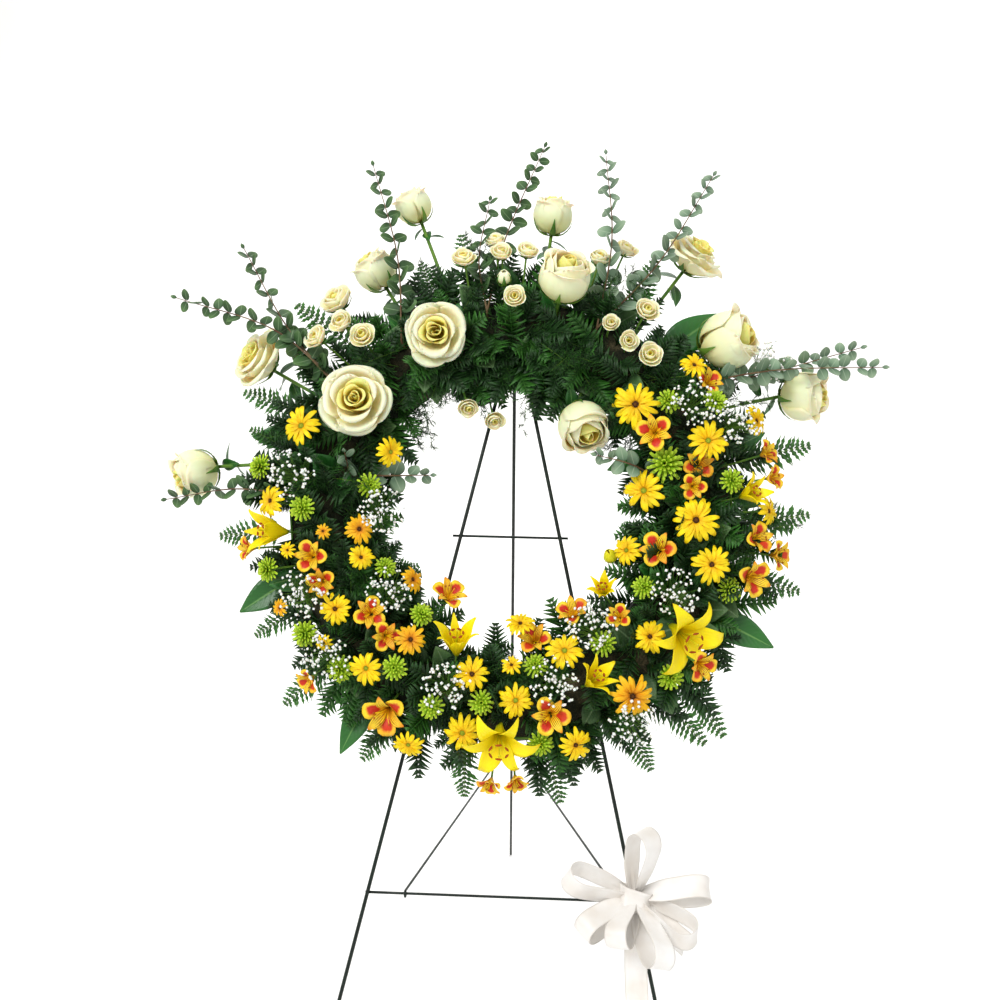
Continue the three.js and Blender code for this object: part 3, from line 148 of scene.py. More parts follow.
class Piece:
    """Gathers the sheets and tubes of one piece, and makes one mesh of them."""

    def __init__(self, to_world=wreath_to_world):
        self.to_world = to_world
        self.points, self.quads, self.marks, self.slots, self.materials = [], [], [], [], []
        self.count = 0

    def add(self, points, quads, marks, material):
        if material not in self.materials:
            self.materials.append(material)
        self.points.append(points.reshape(-1, 3))
        self.marks.append(marks.reshape(-1, 3))
        self.quads.append(quads + self.count)
        self.slots.append(np.full(len(quads), self.materials.index(material)))
        self.count += self.points[-1].shape[0]

    def sheet(self, grid, material, marks=None, thickness=0.5):
        """A thin sheet over a grid of points. Its marks are [across, along, chance] for the material."""
        rows, columns = grid.shape[:2]
        if marks is None:
            marks = default_marks(rows, columns)
        normal = np.cross(np.gradient(grid, axis=0), np.gradient(grid, axis=1))
        normal = normal / (np.linalg.norm(normal, axis=2, keepdims=True) + 1e-9)
        both = np.concatenate([grid + normal * thickness / 2, grid - normal * thickness / 2])
        self.add(both, sheet_quads(rows, columns), np.concatenate([marks, marks]), material)

    def tube(self, path, radius, material, sides=6):
        """A round tube along a path, closed at both ends."""
        rings = tube_rings(path, radius, sides)
        rows = len(rings)
        marks = default_marks(rows, sides)
        self.add(rings, grid_quads(rows, sides, True), marks, material)

    def thread(self, path, radius, material):
        """A thread too thin for its ends to be seen: a three-sided tube without end caps."""
        rings = tube_rings(path, radius, 3)[1:-1]
        self.add(rings, grid_quads(len(rings), 3, True), default_marks(len(rings), 3), material)

    def make(self, name, body="stand", replaces=(), slot=None):
        points = self.to_world(np.concatenate(self.points))
        quads = np.concatenate(self.quads).astype(np.int32)
        mesh = bpy.data.meshes.new(name)
        mesh.vertices.add(len(points))
        mesh.vertices.foreach_set("co", points.astype(np.float32).ravel())
        mesh.loops.add(quads.size)
        mesh.loops.foreach_set("vertex_index", quads.ravel())
        mesh.polygons.add(len(quads))
        mesh.polygons.foreach_set("loop_start", np.arange(0, quads.size, 4, dtype=np.int32))
        mesh.polygons.foreach_set("use_smooth", np.ones(len(quads), dtype=bool))
        for material in self.materials:
            mesh.materials.append(material)
        mesh.polygons.foreach_set("material_index", np.concatenate(self.slots).astype(np.int32))
        mark = mesh.attributes.new("mark", "FLOAT_VECTOR", "POINT")
        mark.data.foreach_set("vector", np.concatenate(self.marks).astype(np.float32).ravel())
        mesh.update(calc_edges=True)
        mesh.validate()
        piece = bpy.data.objects.new(name, mesh)
        bpy.context.scene.collection.objects.link(piece)
        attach(piece, body)
        if replaces:
            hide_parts(*replaces)
        return piece


def default_marks(rows, columns):
    across = np.linspace(-1, 1, columns)
    along = np.linspace(0, 1, rows)
    chance = np.full((rows, columns), RANDOM.random())
    return np.stack([np.tile(across, (rows, 1)), np.tile(along[:, None], (1, columns)), chance], axis=-1)


def tube_rings(path, radius, sides):
    path = np.asarray(path, float)
    tangent = np.gradient(path, axis=0)
    tangent = tangent / (np.linalg.norm(tangent, axis=1, keepdims=True) + 1e-12)
    radii = np.broadcast_to(radius, len(path)).astype(float)
    spare = UP_Z if abs(tangent[0][2]) < 0.9 else vec(1, 0, 0)
    side = unit(np.cross(tangent[0], spare))
    angles = np.arange(sides) * TURN / sides
    rings = []
    for centre, along, reach in zip(path, tangent, radii):
        side = unit(side - along * side.dot(along))
        other = np.cross(along, side)
        rings.append(centre + reach * (np.outer(np.cos(angles), side) + np.outer(np.sin(angles), other)))
    first, last = path[0] + 0 * rings[0], path[-1] + 0 * rings[-1]
    near_start = first + (rings[0] - first) * 0.05
    near_end = last + (rings[-1] - last) * 0.05
    return np.array([near_start, *rings, near_end])


def smooth(points, count):
    """A Catmull-Rom curve through points."""
    points = np.asarray(points, float)
    padded = np.concatenate([[2 * points[0] - points[1]], points, [2 * points[-1] - points[-2]]])
    places = np.linspace(0, len(points) - 1, count)
    spans = np.minimum(places.astype(int), len(points) - 2)
    t = (places - spans)[:, None]
    a, b, c, d = (padded[spans + k] for k in range(4))
    return 0.5 * (2 * b + (c - a) * t + (2 * a - 5 * b + 4 * c - d) * t**2 + (3 * b - a - 3 * c + d) * t**3)


def rotation(axis, angle):
    """The matrix of a turn about an axis, where 0 is X, 1 is Y and 2 is Z."""
    c, s = cos(angle), sin(angle)
    return np.roll([[c, -s, 0], [s, c, 0], [0, 0, 1]], axis + 1, (0, 1))


def line_length(line):
    return np.linalg.norm(np.diff(np.asarray(line), axis=0), axis=1).sum()


def turned(facing, turn=0.0):
    """The matrix that turns +Z towards a direction, after a turn about +Z, as in the CAD source."""
    f = unit(np.asarray(facing, float))
    x, y, z = np.cross(UP_Z, f)
    skew = np.array([[0, -z, y], [z, 0, -x], [-y, x, 0]])
    swing = np.eye(3) + skew + skew @ skew / (1 + f[2] + 1e-9)
    return swing @ rotation(2, turn)


def polar(radius, angle, n):
    return vec(radius * cos(angle), radius * sin(angle), n)


def on_moss(out, turn, n):
    """A point on the CAD moss, whose ring has 26 flat sides, at a reach out from the ring's line."""
    off = turn - (floor(turn / MOSS_STEP) + 0.5) * MOSS_STEP
    return polar((CORE_R + out) * cos(MOSS_STEP / 2) / cos(off), turn, n)


def crown(u, v):
    """How high the blooms stand at a place: highest over the ring's line, low at both edges."""
    off = min(abs(hypot(u, v) - CORE_R) / BLOOM_REACH, 1)
    return BLOOM_FOOT + BLOOM_RISE * sqrt(1 - off * off)


def bloom_facing(u, v, lean):
    """The way a bloom faces: away from the ring's line, and then leant."""
    radius = hypot(u, v)
    off = max(-1, min(1, (radius - CORE_R) / BLOOM_REACH)) * 0.75
    return unit(vec(u / radius * off + lean[0], v / radius * off + lean[1], 1))


class Corners:
    """The corners of a CAD node, to find where the CAD source settled a bloom or a leaf."""

    def __init__(self, node):
        vertices = frame["nodes"][node].data.vertices
        self.tree = KDTree(len(vertices))
        for i, vertex in enumerate(vertices):
            self.tree.insert(vertex.co, i)
        self.tree.balance()

    def miss(self, point):
        """How far a point of the wreath is from the nearest corner, in millimetres."""
        return self.tree.find(Vector(wreath_to_world(point)))[2] * 1000

    def height(self, u, v, facing, top, height):
        """The height at which a bloom's highest point is one of the corners."""
        for rise in HEIGHT_TRIES:
            if self.miss(vec(u, v, height + rise) + facing * top) < 0.4:
                return height + rise
        return height


# Materials


def srgb(code):
    """A colour given as six hex digits, as the linear colour that Blender uses."""
    parts = [int(code[i : i + 2], 16) / 255 for i in (0, 2, 4)]
    return [(p / 12.92 if p <= 0.04045 else ((p + 0.055) / 1.055) ** 2.4) for p in parts] + [1.0]


class Look:
    """A material's node tree, with short calls that add a node and link it."""

    def __init__(self, name):
        self.material = bpy.data.materials.new(name)
        self.material.use_nodes = True
        self.tree = self.material.node_tree
        self.shader = self.tree.nodes["Principled BSDF"]
        mark = self.node("Attribute", attribute_name="mark")
        parts = self.node("SeparateXYZ", {0: mark.outputs["Vector"]})
        self.across, self.along, self.chance = parts.outputs
        self.place = self.node("TexCoord").outputs["Object"]

    def node(self, kind, inputs=None, **settings):
        made = self.tree.nodes.new("ShaderNode" + kind)
        for key, value in settings.items():
            setattr(made, key, value)
        for key, value in (inputs or {}).items():
            self.give(made.inputs[key], value)
        return made

    def give(self, socket, value):
        if isinstance(value, bpy.types.NodeSocket):
            self.tree.links.new(value, socket)
        else:
            socket.default_value = value

    def maths(self, operation, a, b=0.0):
        return self.node("Math", {0: a, 1: b}, operation=operation).outputs[0]

    def plus(self, a, b):
        return self.maths("ADD", a, b)

    def times(self, a, b):
        return self.maths("MULTIPLY", a, b)

    def sine(self, a):
        return self.maths("SINE", a)

    def noise(self, scale, detail=2.0):
        inputs = {"Vector": self.place, "Scale": scale, "Detail": detail}
        return self.node("TexNoise", inputs).outputs["Fac"]

    def ramp(self, factor, stops):
        """A ramp of colours, each given as its place, a colon and six hex digits."""
        made = self.node("ValToRGB", {0: factor})
        elements = made.color_ramp.elements
        first, *between, last = [stop.split(":") for stop in stops.split()]
        elements[0].position, elements[0].color = float(first[0]), srgb(first[1])
        elements[1].position, elements[1].color = float(last[0]), srgb(last[1])
        for at, code in between:
            elements.new(float(at)).color = srgb(code)
        return made.outputs["Color"]

    def mix(self, factor, a, b, blend="MIX"):
        made = self.node("Mix", {0: factor}, data_type="RGBA", blend_type=blend)
        self.give(made.inputs[6], a)
        self.give(made.inputs[7], b)
        return made.outputs[2]

    def spread(self, factor, low, high, new_low=0.0, new_high=1.0):
        inputs = {0: factor, 1: low, 2: high, 3: new_low, 4: new_high}
        return self.node("MapRange", inputs).outputs[0]

    def varied(self, colour, amount):
        """The colour, lighter or darker from one petal to the next and in soft patches."""
        patch = self.plus(self.chance, self.noise(60))
        value = self.spread(patch, 0.3, 1.5, 1 - amount, 1 + amount)
        grey = self.node("CombineColor", {0: value, 1: value, 2: value}).outputs[0]
        return self.mix(1.0, colour, grey, "MULTIPLY")

    def bump(self, height, strength, distance=0.0006):
        inputs = {"Height": height, "Strength": strength, "Distance": distance}
        return self.node("Bump", inputs).outputs["Normal"]

    def finish(self, colour, roughness, normal=None, **shader):
        self.give(self.shader.inputs["Base Color"], colour)
        self.give(self.shader.inputs["Roughness"], roughness)
        if normal is not None:
            self.give(self.shader.inputs["Normal"], normal)
        for key, value in shader.items():
            self.shader.inputs[key.replace("_", " ")].default_value = value
        return self.material


def veins(look, count):
    """Fine lines that run along a petal or leaf."""
    wave = look.sine(look.times(look.across, count))
    return look.plus(wave, look.noise(900))


def petal_look(name, stops, roughness=0.55, vary=0.12, lines=22, shine=0.3, glow=0.12):
    look = Look(name)
    colour = look.varied(look.ramp(look.along, stops), vary)
    normal = look.bump(veins(look, lines), 0.25, 0.0003)
    return look.finish(colour, roughness, normal, Specular_IOR_Level=shine, Subsurface_Weight=glow,
                       Subsurface_Scale=0.006)


def alstroemeria_look(name, blotched):
    """Yellow, flushed with orange. Outer petals carry a broad red blotch, inner ones dark streaks."""
    look = Look(name)
    base = look.ramp(look.along, "0:dba61e 0.3:f6bf1c 0.6:fcd930 1:f8cc22")
    edge = look.maths("ABSOLUTE", look.across)
    if blotched:
        away = look.times(look.maths("SUBTRACT", look.along, 0.62), 2.7)
        oval = look.plus(look.maths("POWER", away, 2.0), look.maths("POWER", edge, 2.0))
        ragged = look.plus(oval, look.times(look.noise(260), 0.5))
        colour = look.mix(look.spread(ragged, 0.85, 0.5), base, srgb("c62a10"))
    else:
        wave = look.sine(look.times(look.across, 17))
        streak = look.spread(look.plus(wave, look.noise(420)), 0.9, 1.25)
        inside = look.times(look.spread(look.along, 0.1, 0.3), look.spread(look.along, 0.9, 0.65))
        tip = look.mix(look.spread(look.along, 0.8, 1.05), base, srgb("e2621a"))
        colour = look.mix(look.times(streak, inside), tip, srgb("6e1a0c"))
    flush = look.spread(look.chance, 0.7, 1.0, 0.0, 0.6)
    colour = look.mix(flush, colour, look.mix(0.7, colour, srgb("c8480f")))
    normal = look.bump(veins(look, 18), 0.25, 0.0003)
    return look.finish(look.varied(colour, 0.1), 0.5, normal, Specular_IOR_Level=0.35,
                       Subsurface_Weight=0.08, Subsurface_Scale=0.003)


def leaf_look(name, stops, midrib, roughness=0.5, vary=0.25, shine=0.4):
    """A leaf: darker patches, a pale midrib and side veins in relief."""
    look = Look(name)
    colour = look.varied(look.ramp(look.along, stops), vary)
    edge = look.maths("ABSOLUTE", look.across)
    rib = look.spread(edge, 0.02, 0.1, 1, 0)
    colour = look.mix(look.times(rib, 0.6), colour, srgb(midrib))
    slant = look.maths("SUBTRACT", look.times(look.along, 70), look.times(edge, 16))
    side = look.sine(slant)
    relief = look.plus(look.times(side, 0.5), look.noise(700))
    return look.finish(colour, roughness, look.bump(relief, 0.3), Specular_IOR_Level=shine)


def stem_look(name, stops):
    """A stem or twig, mottled in two colours."""
    look = Look(name)
    colour = look.ramp(look.noise(45), stops)
    return look.finish(colour, 0.6, look.bump(look.noise(900), 0.3), Specular_IOR_Level=0.3)


def enamel_look():
    """Dip-painted wire: dark green-black, with slight runs and worn spots."""
    look = Look("enamelled_wire")
    worn = look.spread(look.noise(260, 4), 0.62, 0.72)
    colour = look.mix(worn, look.ramp(look.noise(30), "0.3:08110c 0.7:12221a"), srgb("2a352d"))
    rough = look.spread(look.noise(120), 0.3, 0.7, 0.28, 0.5)
    return look.finish(colour, rough, look.bump(look.noise(350), 0.2), Metallic=0.0,
                       Specular_IOR_Level=0.3, Coat_Weight=0.1,
                       Coat_Roughness=0.3)


def moss_and_painted_shade_look():
    """Matted moss, mottled and rough, with paler dry patches. Its near-black green is partly its own colour
    and partly painted shade, so that bare moss between the greens reads as deep shade.
    """
    look = Look("moss")
    tone = look.plus(look.times(look.noise(38, 4), 0.75), look.times(look.noise(500), 0.3))
    # Painted shade: the dark stops and the dark green mixed in below are darker than moss is, so moss that
    # shows between the fronds stands in for the shade there. The pale stops are its real dry patches.
    colour = look.ramp(tone, "0.3:0e120b 0.48:20241a 0.6:3a3626 0.75:6b6148")
    colour = look.mix(look.times(look.chance, 0.5), colour, srgb("18240f"))
    return look.finish(colour, 0.95, look.bump(look.noise(420, 6), 0.9, 0.002), Specular_IOR_Level=0.15)


def satin_look():
    """White satin: fine threads across the ribbon and a soft sheen, with painted shade. Beige in soft patches
    and along its edges stands in for the shade in its folds.
    """
    look = Look("satin")
    threads = look.sine(look.times(look.across, 260))
    # Painted shade: the beige end of this ramp and the beige at the ribbon's edges stand in for the shade in
    # the bow's folds.
    colour = look.ramp(look.noise(22, 3), "0.35:e8e2da 0.65:f6f4f1")
    edge = look.spread(look.maths("ABSOLUTE", look.across), 0.9, 0.95)
    colour = look.mix(look.times(edge, 0.5), colour, srgb("d6cdc2"))
    return look.finish(colour, 0.36, look.bump(look.plus(threads, edge), 0.12, 0.0002),
                       Sheen_Weight=0.4, Sheen_Roughness=0.4, Anisotropic=0.5, Specular_IOR_Level=0.5)


ENAMEL = enamel_look()
# The moss material is painted darker than moss, as painted shade between the greens.
MOSS = moss_and_painted_shade_look()
SATIN = satin_look()
ROSE = petal_look("rose_petal", "0:c4b64e 0.22:ecdc8c 0.6:f6ebb8 1:fbf3d2", 0.5, 0.07, glow=0.3)
ROSE_HEART = petal_look("rose_heart", "0:c9ae2c 0.5:efda62 1:f6e78e", 0.5, 0.07, glow=0.4)
DAISY = petal_look("daisy_petal", "0:d98c00 0.2:f5bd00 0.7:ffdc0a 1:fbd006", 0.5, 0.14)
DAISY_EYE = petal_look("daisy_eye", "0:1c1006 0.6:3c2109 1:7a4a10", 0.85)
DAISY_GREEN_EYE = petal_look("daisy_green_eye", "0:536112 0.6:83971e 1:b4b52a", 0.85)
BRONZE = petal_look("bronze_petal", "0:7a2c04 0.2:dd8a08 0.5:f2ae0c 1:f7c012", 0.5, 0.16)
MUM_PETAL = petal_look("mum_petal", "0:5c8410 0.5:93bd1c 1:c5e23c", 0.5, 0.14)
ALSTROEMERIA = alstroemeria_look("alstroemeria_petal", True)
ALSTROEMERIA_INNER = alstroemeria_look("alstroemeria_streaked", False)
LILY = petal_look("lily_petal", "0:a9b010 0.22:ecd000 0.7:fde50c 1:f6d908", 0.42, 0.08)
LILY_BUD = petal_look("lily_bud", "0:7a9a1c 0.5:d6d01c 1:eadb1c", 0.45)
ANTHER = petal_look("anther", "0:8a3c0c 1:b35a16", 0.9)
TINY = petal_look("tiny_white", "0:d9dcc4 0.5:f4f4ee 1:fdfdfa", 0.7, 0.05)
FERN = leaf_look("fern", "0:1a4210 0.5:2a5e1a 1:3d7a28", "5f8f3c", 0.42)
DARK_FERN = leaf_look("dark_fern", "0:0c2608 0.6:183d10 1:27541a", "35602a", 0.45)
BROAD = leaf_look("broad_leaf", "0:164514 0.6:22601f 1:2c6c26", "74a356", 0.35, 0.2, 0.5)
EUCALYPTUS_LEAF = leaf_look("eucalyptus_leaf", "0:46624a 0.5:708a6e 1:8fa489", "a5b79c", 0.55)
DARK_EUCALYPTUS = leaf_look("dark_eucalyptus_leaf", "0:223e1c 0.5:37582e 1:527240", "7f9a70", 0.5)
STEM = stem_look("green_stem", "0.3:3a6a20 0.7:6b8f30")
BROWN_STEM = stem_look("brown_stem", "0.3:5a3a28 0.7:7c6a4a")


# Where the flowers and greens stand, as in the CAD source

# Each rose: its place, size, lean, kind and how far it stands above the other blooms.
ROSES = [(-395, 50, 60, -0.9, -0.9, "rose_bud", 0), (-328, 190, 72, -0.3, 0.1, "open_rose", 4),
         (-178, 306, 54, -0.7, 0.8, "rose_bud", 4), (-133, 396, 48, -0.8, 1.2, "rose_bud", 4),
         (-95, 215, 70, 0, -0.2, "open_rose", 8), (-190, 126, 78, 0, 0, "open_rose", 10),
         (45, 384, 52, 0.1, 1.6, "rose_bud", 4), (58, 276, 64, 0.2, 0.5, "rose_bud", 8),
         (82, 118, 60, 0.9, -0.7, "rose_bud", 4), (226, 338, 70, 0.5, 0.5, "open_rose", 4),
         (250, 214, 72, 1.1, 0.1, "rose_bud", 4), (356, 162, 62, 1, -0.6, "rose_bud", 2)]
# Each spray: its usual kind, and its heads by place and size, with their lean and kind where these differ.
SPRAYS = {
    "lily_left": ("half_lily", [(-290, -36, 66, -0.8, 0)]),
    "lily_bottom": ("half_lily", [(-4, -278, 90, 0, -0.5, "lily"), (-58, -160, 64, -0.1, 0.7)]),
    "lily_right": ("half_lily", [(212, -150, 96, 0.4, -0.4, "lily"), (106, -200, 56, 0.6, 0.5),
        (115, -95, 42, 0.2, 0.2), (126, -54, 18, 0, 0.6, "lily_bud")]),
    "lily_upper_right": ("half_lily", [(290, 24, 50, 0.4, 0.2)]),
    "spray_roses_left": ("spray_rose", [(-225, 262, 44, -0.2, 0.2), (-214, 226, 32),
        (-244, 208, 32, -0.3, 0), (-186, 206, 32, 0.1, 0)]),
    "spray_roses_top": ("spray_rose", [(-65, 312, 32, 0, 0.2), (-28, 348, 28, -0.2, 0.4), (-18, 322, 28),
        (13, 325, 28, 0.2, 0.2), (0, 258, 28), (-14, 286, 18, 0, 0.4, "bud"), (-55, 128, 26, 0, -0.4),
        (-24, 118, 26, 0.2, -0.4)]),
    "spray_roses_right": ("spray_rose", [(105, 320, 30, 0, 0.3), (140, 346, 30, 0.2, 0.3), (118, 228, 22),
        (140, 206, 24, 0, -0.2), (162, 246, 30), (166, 188, 30)]),
    "daisies_left": ("daisy", [(-255, 92, 50), (-148, 65, 38, 0.2, 0), (-288, 0, 40, -0.2, 0),
        (-180, -32, 38), (-176, -66, 34), (-262, -60, 22), (-222, -36, 20)]),
    "daisies_lower_left": ("daisy", [(-116, -90, 34, 0.7, 0), (-270, -128, 24, -0.2, 0), (-202, -128, 42),
        (-214, -168, 22), (-162, -196, 42), (-112, -162, 40), (-110, -282, 36, 0, -0.2)]),
    "daisies_bottom": ("daisy", [(-38, -200, 45), (-48, -268, 46), (8, -188, 26), (14, -228, 42),
        (17, -140, 36, 0, 0.2), (84, -276, 42, 0.2, 0), (70, -170, 46)]),
    "daisies_right": ("daisy", [(170, -150, 42), (148, -218, 52, 0.1, -0.1), (163, 24, 54, -0.1, 0),
        (222, -12, 58), (240, -64, 48), (144, -48, 40, -0.2, 0), (312, 5, 40, 0.7, 0)]),
    "daisies_upper_right": ("daisy", [(150, 128, 60), (236, 84, 50), (220, 178, 36, 0, 0.2),
        (296, 114, 42, 0.6, 0)]),
    "mums_left": ("mum", [(-308, 44, 36, -0.2, 0), (-250, -8, 36), (-172, 23, 34), (-290, -82, 34, -0.2, 0),
        (-148, -76, 30), (-240, -158, 36)]),
    "mums_bottom": ("mum", [(-102, -132, 32), (-195, -198, 36), (-130, -195, 34), (-85, -238, 34),
        (-26, -232, 34), (36, -188, 32), (44, -278, 34), (115, -160, 34)]),
    "mums_right": ("mum", [(196, -196, 36), (188, 58, 50), (190, 134, 34), (246, 134, 34), (266, 38, 34),
        (266, -92, 34), (163, -92, 32)]),
    "alstroemeria_left": ("alstroemeria", [(-236, -66, 42), (-222, -96, 38, 0, -0.2), (-162, -132, 42),
        (-142, -158, 38, 0.2, -0.2), (-138, -246, 56, 0, -0.2), (-234, -212, 34, -0.3, -0.3),
        (-318, -56, 34, -0.6, 0), (-72, -108, 46, 0, 0.2)]),
    "alstroemeria_bottom": ("alstroemeria", [(34, -158, 42), (80, -125, 42, 0, 0.2), (134, -128, 32),
        (55, -244, 48), (-14, -326, 32, -0.3, -0.6), (16, -322, 32, 0.3, -0.6),
        (224, -180, 40, 0.3, -0.2)]),
    "alstroemeria_right": ("alstroemeria", [(180, -47, 46), (172, 92, 46), (228, 58, 40),
        (220, 30, 34, 0, -0.2), (240, 162, 36), (296, -30, 42, 0.2, 0.2), (324, -48, 40, 0.5, 0),
        (290, -76, 48, 0.1, -0.2), (318, 46, 34, 0.4, 0), (311, 76, 34, 0.4, 0.2)]),
}
BREATH = {
    "babys_breath_left": [(-262, 30), (-152, -8), (-241, -112), (-138, -104), (-210, -186), (-66, -216)],
    "babys_breath_right": [(58, -206), (100, -140), (150, -250), (196, -98), (218, 128), (274, 112),
        (325, 200)],
}
# Each rail of greens: its side, its ends in degrees, and its blades by place in degrees, length, width,
# rise and sideways lean. A blade is a fern frond unless it says leaf.
GREENS = {
    "greens_left": (1, 128, 212, [(134, 118, 19, 0.25, 0.2), (146, 120, 20, 0.1, 0),
        (158, 140, 22, 0.15, 0.1), (164, 84, 22, 0.5, 0.4, "leaf"), (172, 110, 18, 0.3, -0.2),
        (186, 96, 18, 0.1, 0), (196, 84, 20, 0.2, 0.3, "leaf"), (206, 100, 18, 0.1, 0.1)]),
    "greens_bottom": (1, 216, 300, [(220, 92, 18, 0.1, 0), (232, 84, 17, 0.2, 0.2, "leaf"),
        (242, 80, 18, 0.1, -0.1), (256, 78, 17, 0.1, 0.2), (284, 84, 18, 0.1, 0.1), (296, 84, 17, 0.1, 0)]),
    "greens_right": (1, 304, 388, [(308, 96, 18, 0.1, 0.1), (320, 104, 19, 0.1, -0.2),
        (334, 84, 19, 0.2, 0, "leaf"), (346, 96, 17, 0.1, 0), (358, 100, 17, 0.2, 0.2),
        (372, 112, 20, 0.2, 0), (384, 104, 20, 0.3, 0.2, "leaf")]),
    "greens_top": (1, 392, 484, [(396, 118, 20, 0.2, 0), (408, 96, 22, 0.3, -0.2, "leaf"),
        (420, 108, 18, 0.2, 0.1), (434, 92, 18, 0.3, 0.2, "leaf"), (460, 104, 18, 0.2, 0.1),
        (474, 96, 19, 0.2, 0)]),
    "greens_inner_left": (-1, 196, 226, [(200, 58, 13, 0.4, 0.3), (212, 62, 13, 0.3, 0),
        (222, 58, 13, 0.5, -0.2, "leaf")]),
    "greens_inner_right": (-1, 334, 384, [(338, 58, 13, 0.4, -0.2), (352, 56, 13, 0.3, 0.2),
        (366, 58, 13, 0.4, 0), (380, 62, 14, 0.5, 0, "leaf")]),
    "greens_inner_top": (-1, 62, 122, [(66, 56, 12, 0.5, 0.2), (80, 56, 12, 0.4, 0), (96, 56, 12, 0.4, 0.1),
        (112, 60, 13, 0.5, -0.2)]),
}
# How the CAD source may turn, lift and shorten a blade until it is clear of the others.
BLADE_TRIES = [(0, 0, 1), (2, 0, 1), (-2, 0, 1), (0, -0.15, 1), (0, 0.2, 1), (4, 0, 1), (-4, 0, 1),
               (0, 0, 0.8), (3, -0.15, 0.8), (-3, -0.15, 0.8), (0, -0.25, 0.7), (6, 0.2, 0.7),
               (-6, 0.2, 0.7), (0, -0.2, 0.5), (7, -0.2, 0.6), (-7, -0.2, 0.6)]
# Each eucalyptus: where its foot is, in degrees and out from the ring's line, and the tips of its stems.
EUCALYPTUS = {
    "eucalyptus_top_left": (124, 13, [(-188, 436, 60)]),
    "eucalyptus_top": (98, 13, [(28, 476, 40), (-38, 405, 40)]),
    "eucalyptus_top_right": (62, 13, [(112, 455, 62), (242, 430, 60)]),
    "eucalyptus_right": (34, 13, [(432, 216, 62), (446, 182, 96)]),
    "eucalyptus_left": (146, 13, [(-420, 256, 70), (-345, 322, 62)]),
    "eucalyptus_far_left": (178, 13, [(-434, 6, 48)]),
    "eucalyptus_inner_left": (168, -32, [(-200, 60, 110), (-100, 40, 76)]),
    "eucalyptus_inner_right": (14, -32, [(106, 68, 84)]),
}
# The bow's loops by direction in degrees, length and tilt, and its tails by direction, length and wave.
LOOPS = [(84, 96, 0.5), (162, 92, 0.3), (206, 86, 0.55), (12, 92, 0.3), (-26, 88, 0.6), (-66, 98, 0.9),
         (-124, 76, 0.9)]
TAILS = [(-88, 178, 8), (-40, 84, 5)]


# Petals and leaves


# On a petal or leaf, s runs from 0 at its foot to 1 at its tip, and a from -1 to 1 across it.


def along_line(line, s):
    """Radius and height at shares s of a petal's middle line, given by [radius, height] points."""
    curve = smooth([[r, z, 0] for r, z in line], 24)
    steps = np.linalg.norm(np.diff(curve, axis=0), axis=1)
    shares = np.concatenate([[0], np.cumsum(steps)]) / steps.sum()
    return np.interp(s, shares, curve[:, 0]), np.interp(s, shares, curve[:, 1])


def petal_marks(s, a):
    return np.stack([np.broadcast_to(a, s.shape), s, np.full(s.shape, RANDOM.random())], axis=-1)


def wrapped_petal(line, reach, half_angle, angle, shape, curl=0.0, loose=0.0):
    """A petal that wraps round the bloom's axis, with a rounded tip that ends in a small point.

    Curl rolls its edges outward, and loose shifts and leans it a little off the bloom's axis.
    """
    rows, columns = shape
    a = np.linspace(-1, 1, columns)[None, :]
    s = np.linspace(0.03, 1, rows)[:, None] * (1 - 0.2 * np.abs(a) ** 2.4 - 0.05 * np.abs(a))
    r, z = along_line(line, s)
    half = half_angle * (0.55 + 0.45 * np.sin(np.minimum(1, s * 1.5) * pi / 2))
    theta = angle + a * half
    wave = 0.025 * np.sin(a * 4 + RANDOM.random() * 6) * s**3
    push = uniform(-0.5, 1) * loose
    lift = uniform(-1, 0.6) * loose
    r = r * (1 + push * s**2) + curl * np.abs(a) ** 3 * s**2 + wave
    z = z + wave + lift * s**2
    aside = gauss(0, 0.4, 2) * loose
    x = r * np.cos(theta) + aside[0] * s
    y = r * np.sin(theta) + aside[1] * s
    return np.stack([x, y, z], axis=-1) * reach, petal_marks(s, a)


def flat_petal(line, reach, half_width, angle, shape, widths, cup=0.2, twist=0.0):
    """A petal that stands out from the bloom's axis, with its edges raised by cup."""
    rows, columns = shape
    a = np.linspace(-1, 1, columns)[None, :]
    s = np.linspace(0.0, 1, rows)[:, None] * (1 - 0.05 * np.abs(a) ** 2)
    r, z = along_line(line, s)
    w = half_width * np.interp(s, np.linspace(0, 1, len(widths)), widths)
    y = a * w
    z = z + cup * a**2 * w + twist * a * w
    point = np.stack([r * cos(angle) - y * sin(angle), r * sin(angle) + y * cos(angle), z], axis=-1)
    return point * reach, petal_marks(s, a)


def leaf_marks(s, a):
    return petal_marks(np.broadcast_to(s[..., 0], (len(s), a.shape[1])), a[..., 0])


def drooping(root, way, length, sag, share):
    """A point at a share of a blade's length, on a middle line that sags towards its tip."""
    return root + way * length * share - UP_Z * sag * share**2


def leaf(piece, root, way, normal, length, half_width, material, shape=(6, 5), bend=0.0, fold=0.15, blunt=0.9,
         full=1.0):
    """A leaf with a pointed or round outline. It bends along its length and folds on its midrib."""
    rows, columns = shape
    way = unit(way)
    across = unit(np.cross(normal, way))
    normal = np.cross(way, across)
    a = np.linspace(-1, 1, columns)[None, :, None]
    s = np.linspace(0, 1, rows)[:, None, None]
    w = half_width * np.sin(pi * np.clip(0.03 + 0.95 * s, 0, 1) ** blunt) ** full
    grid = root + way * length * s + across * a * w + normal * (fold * np.abs(a) * w - bend * length * s**2)
    piece.sheet(grid, material, leaf_marks(s, a), 0.35)


SEPAL_WIDTHS = [0.7, 1, 0.8, 0.4, 0.06]


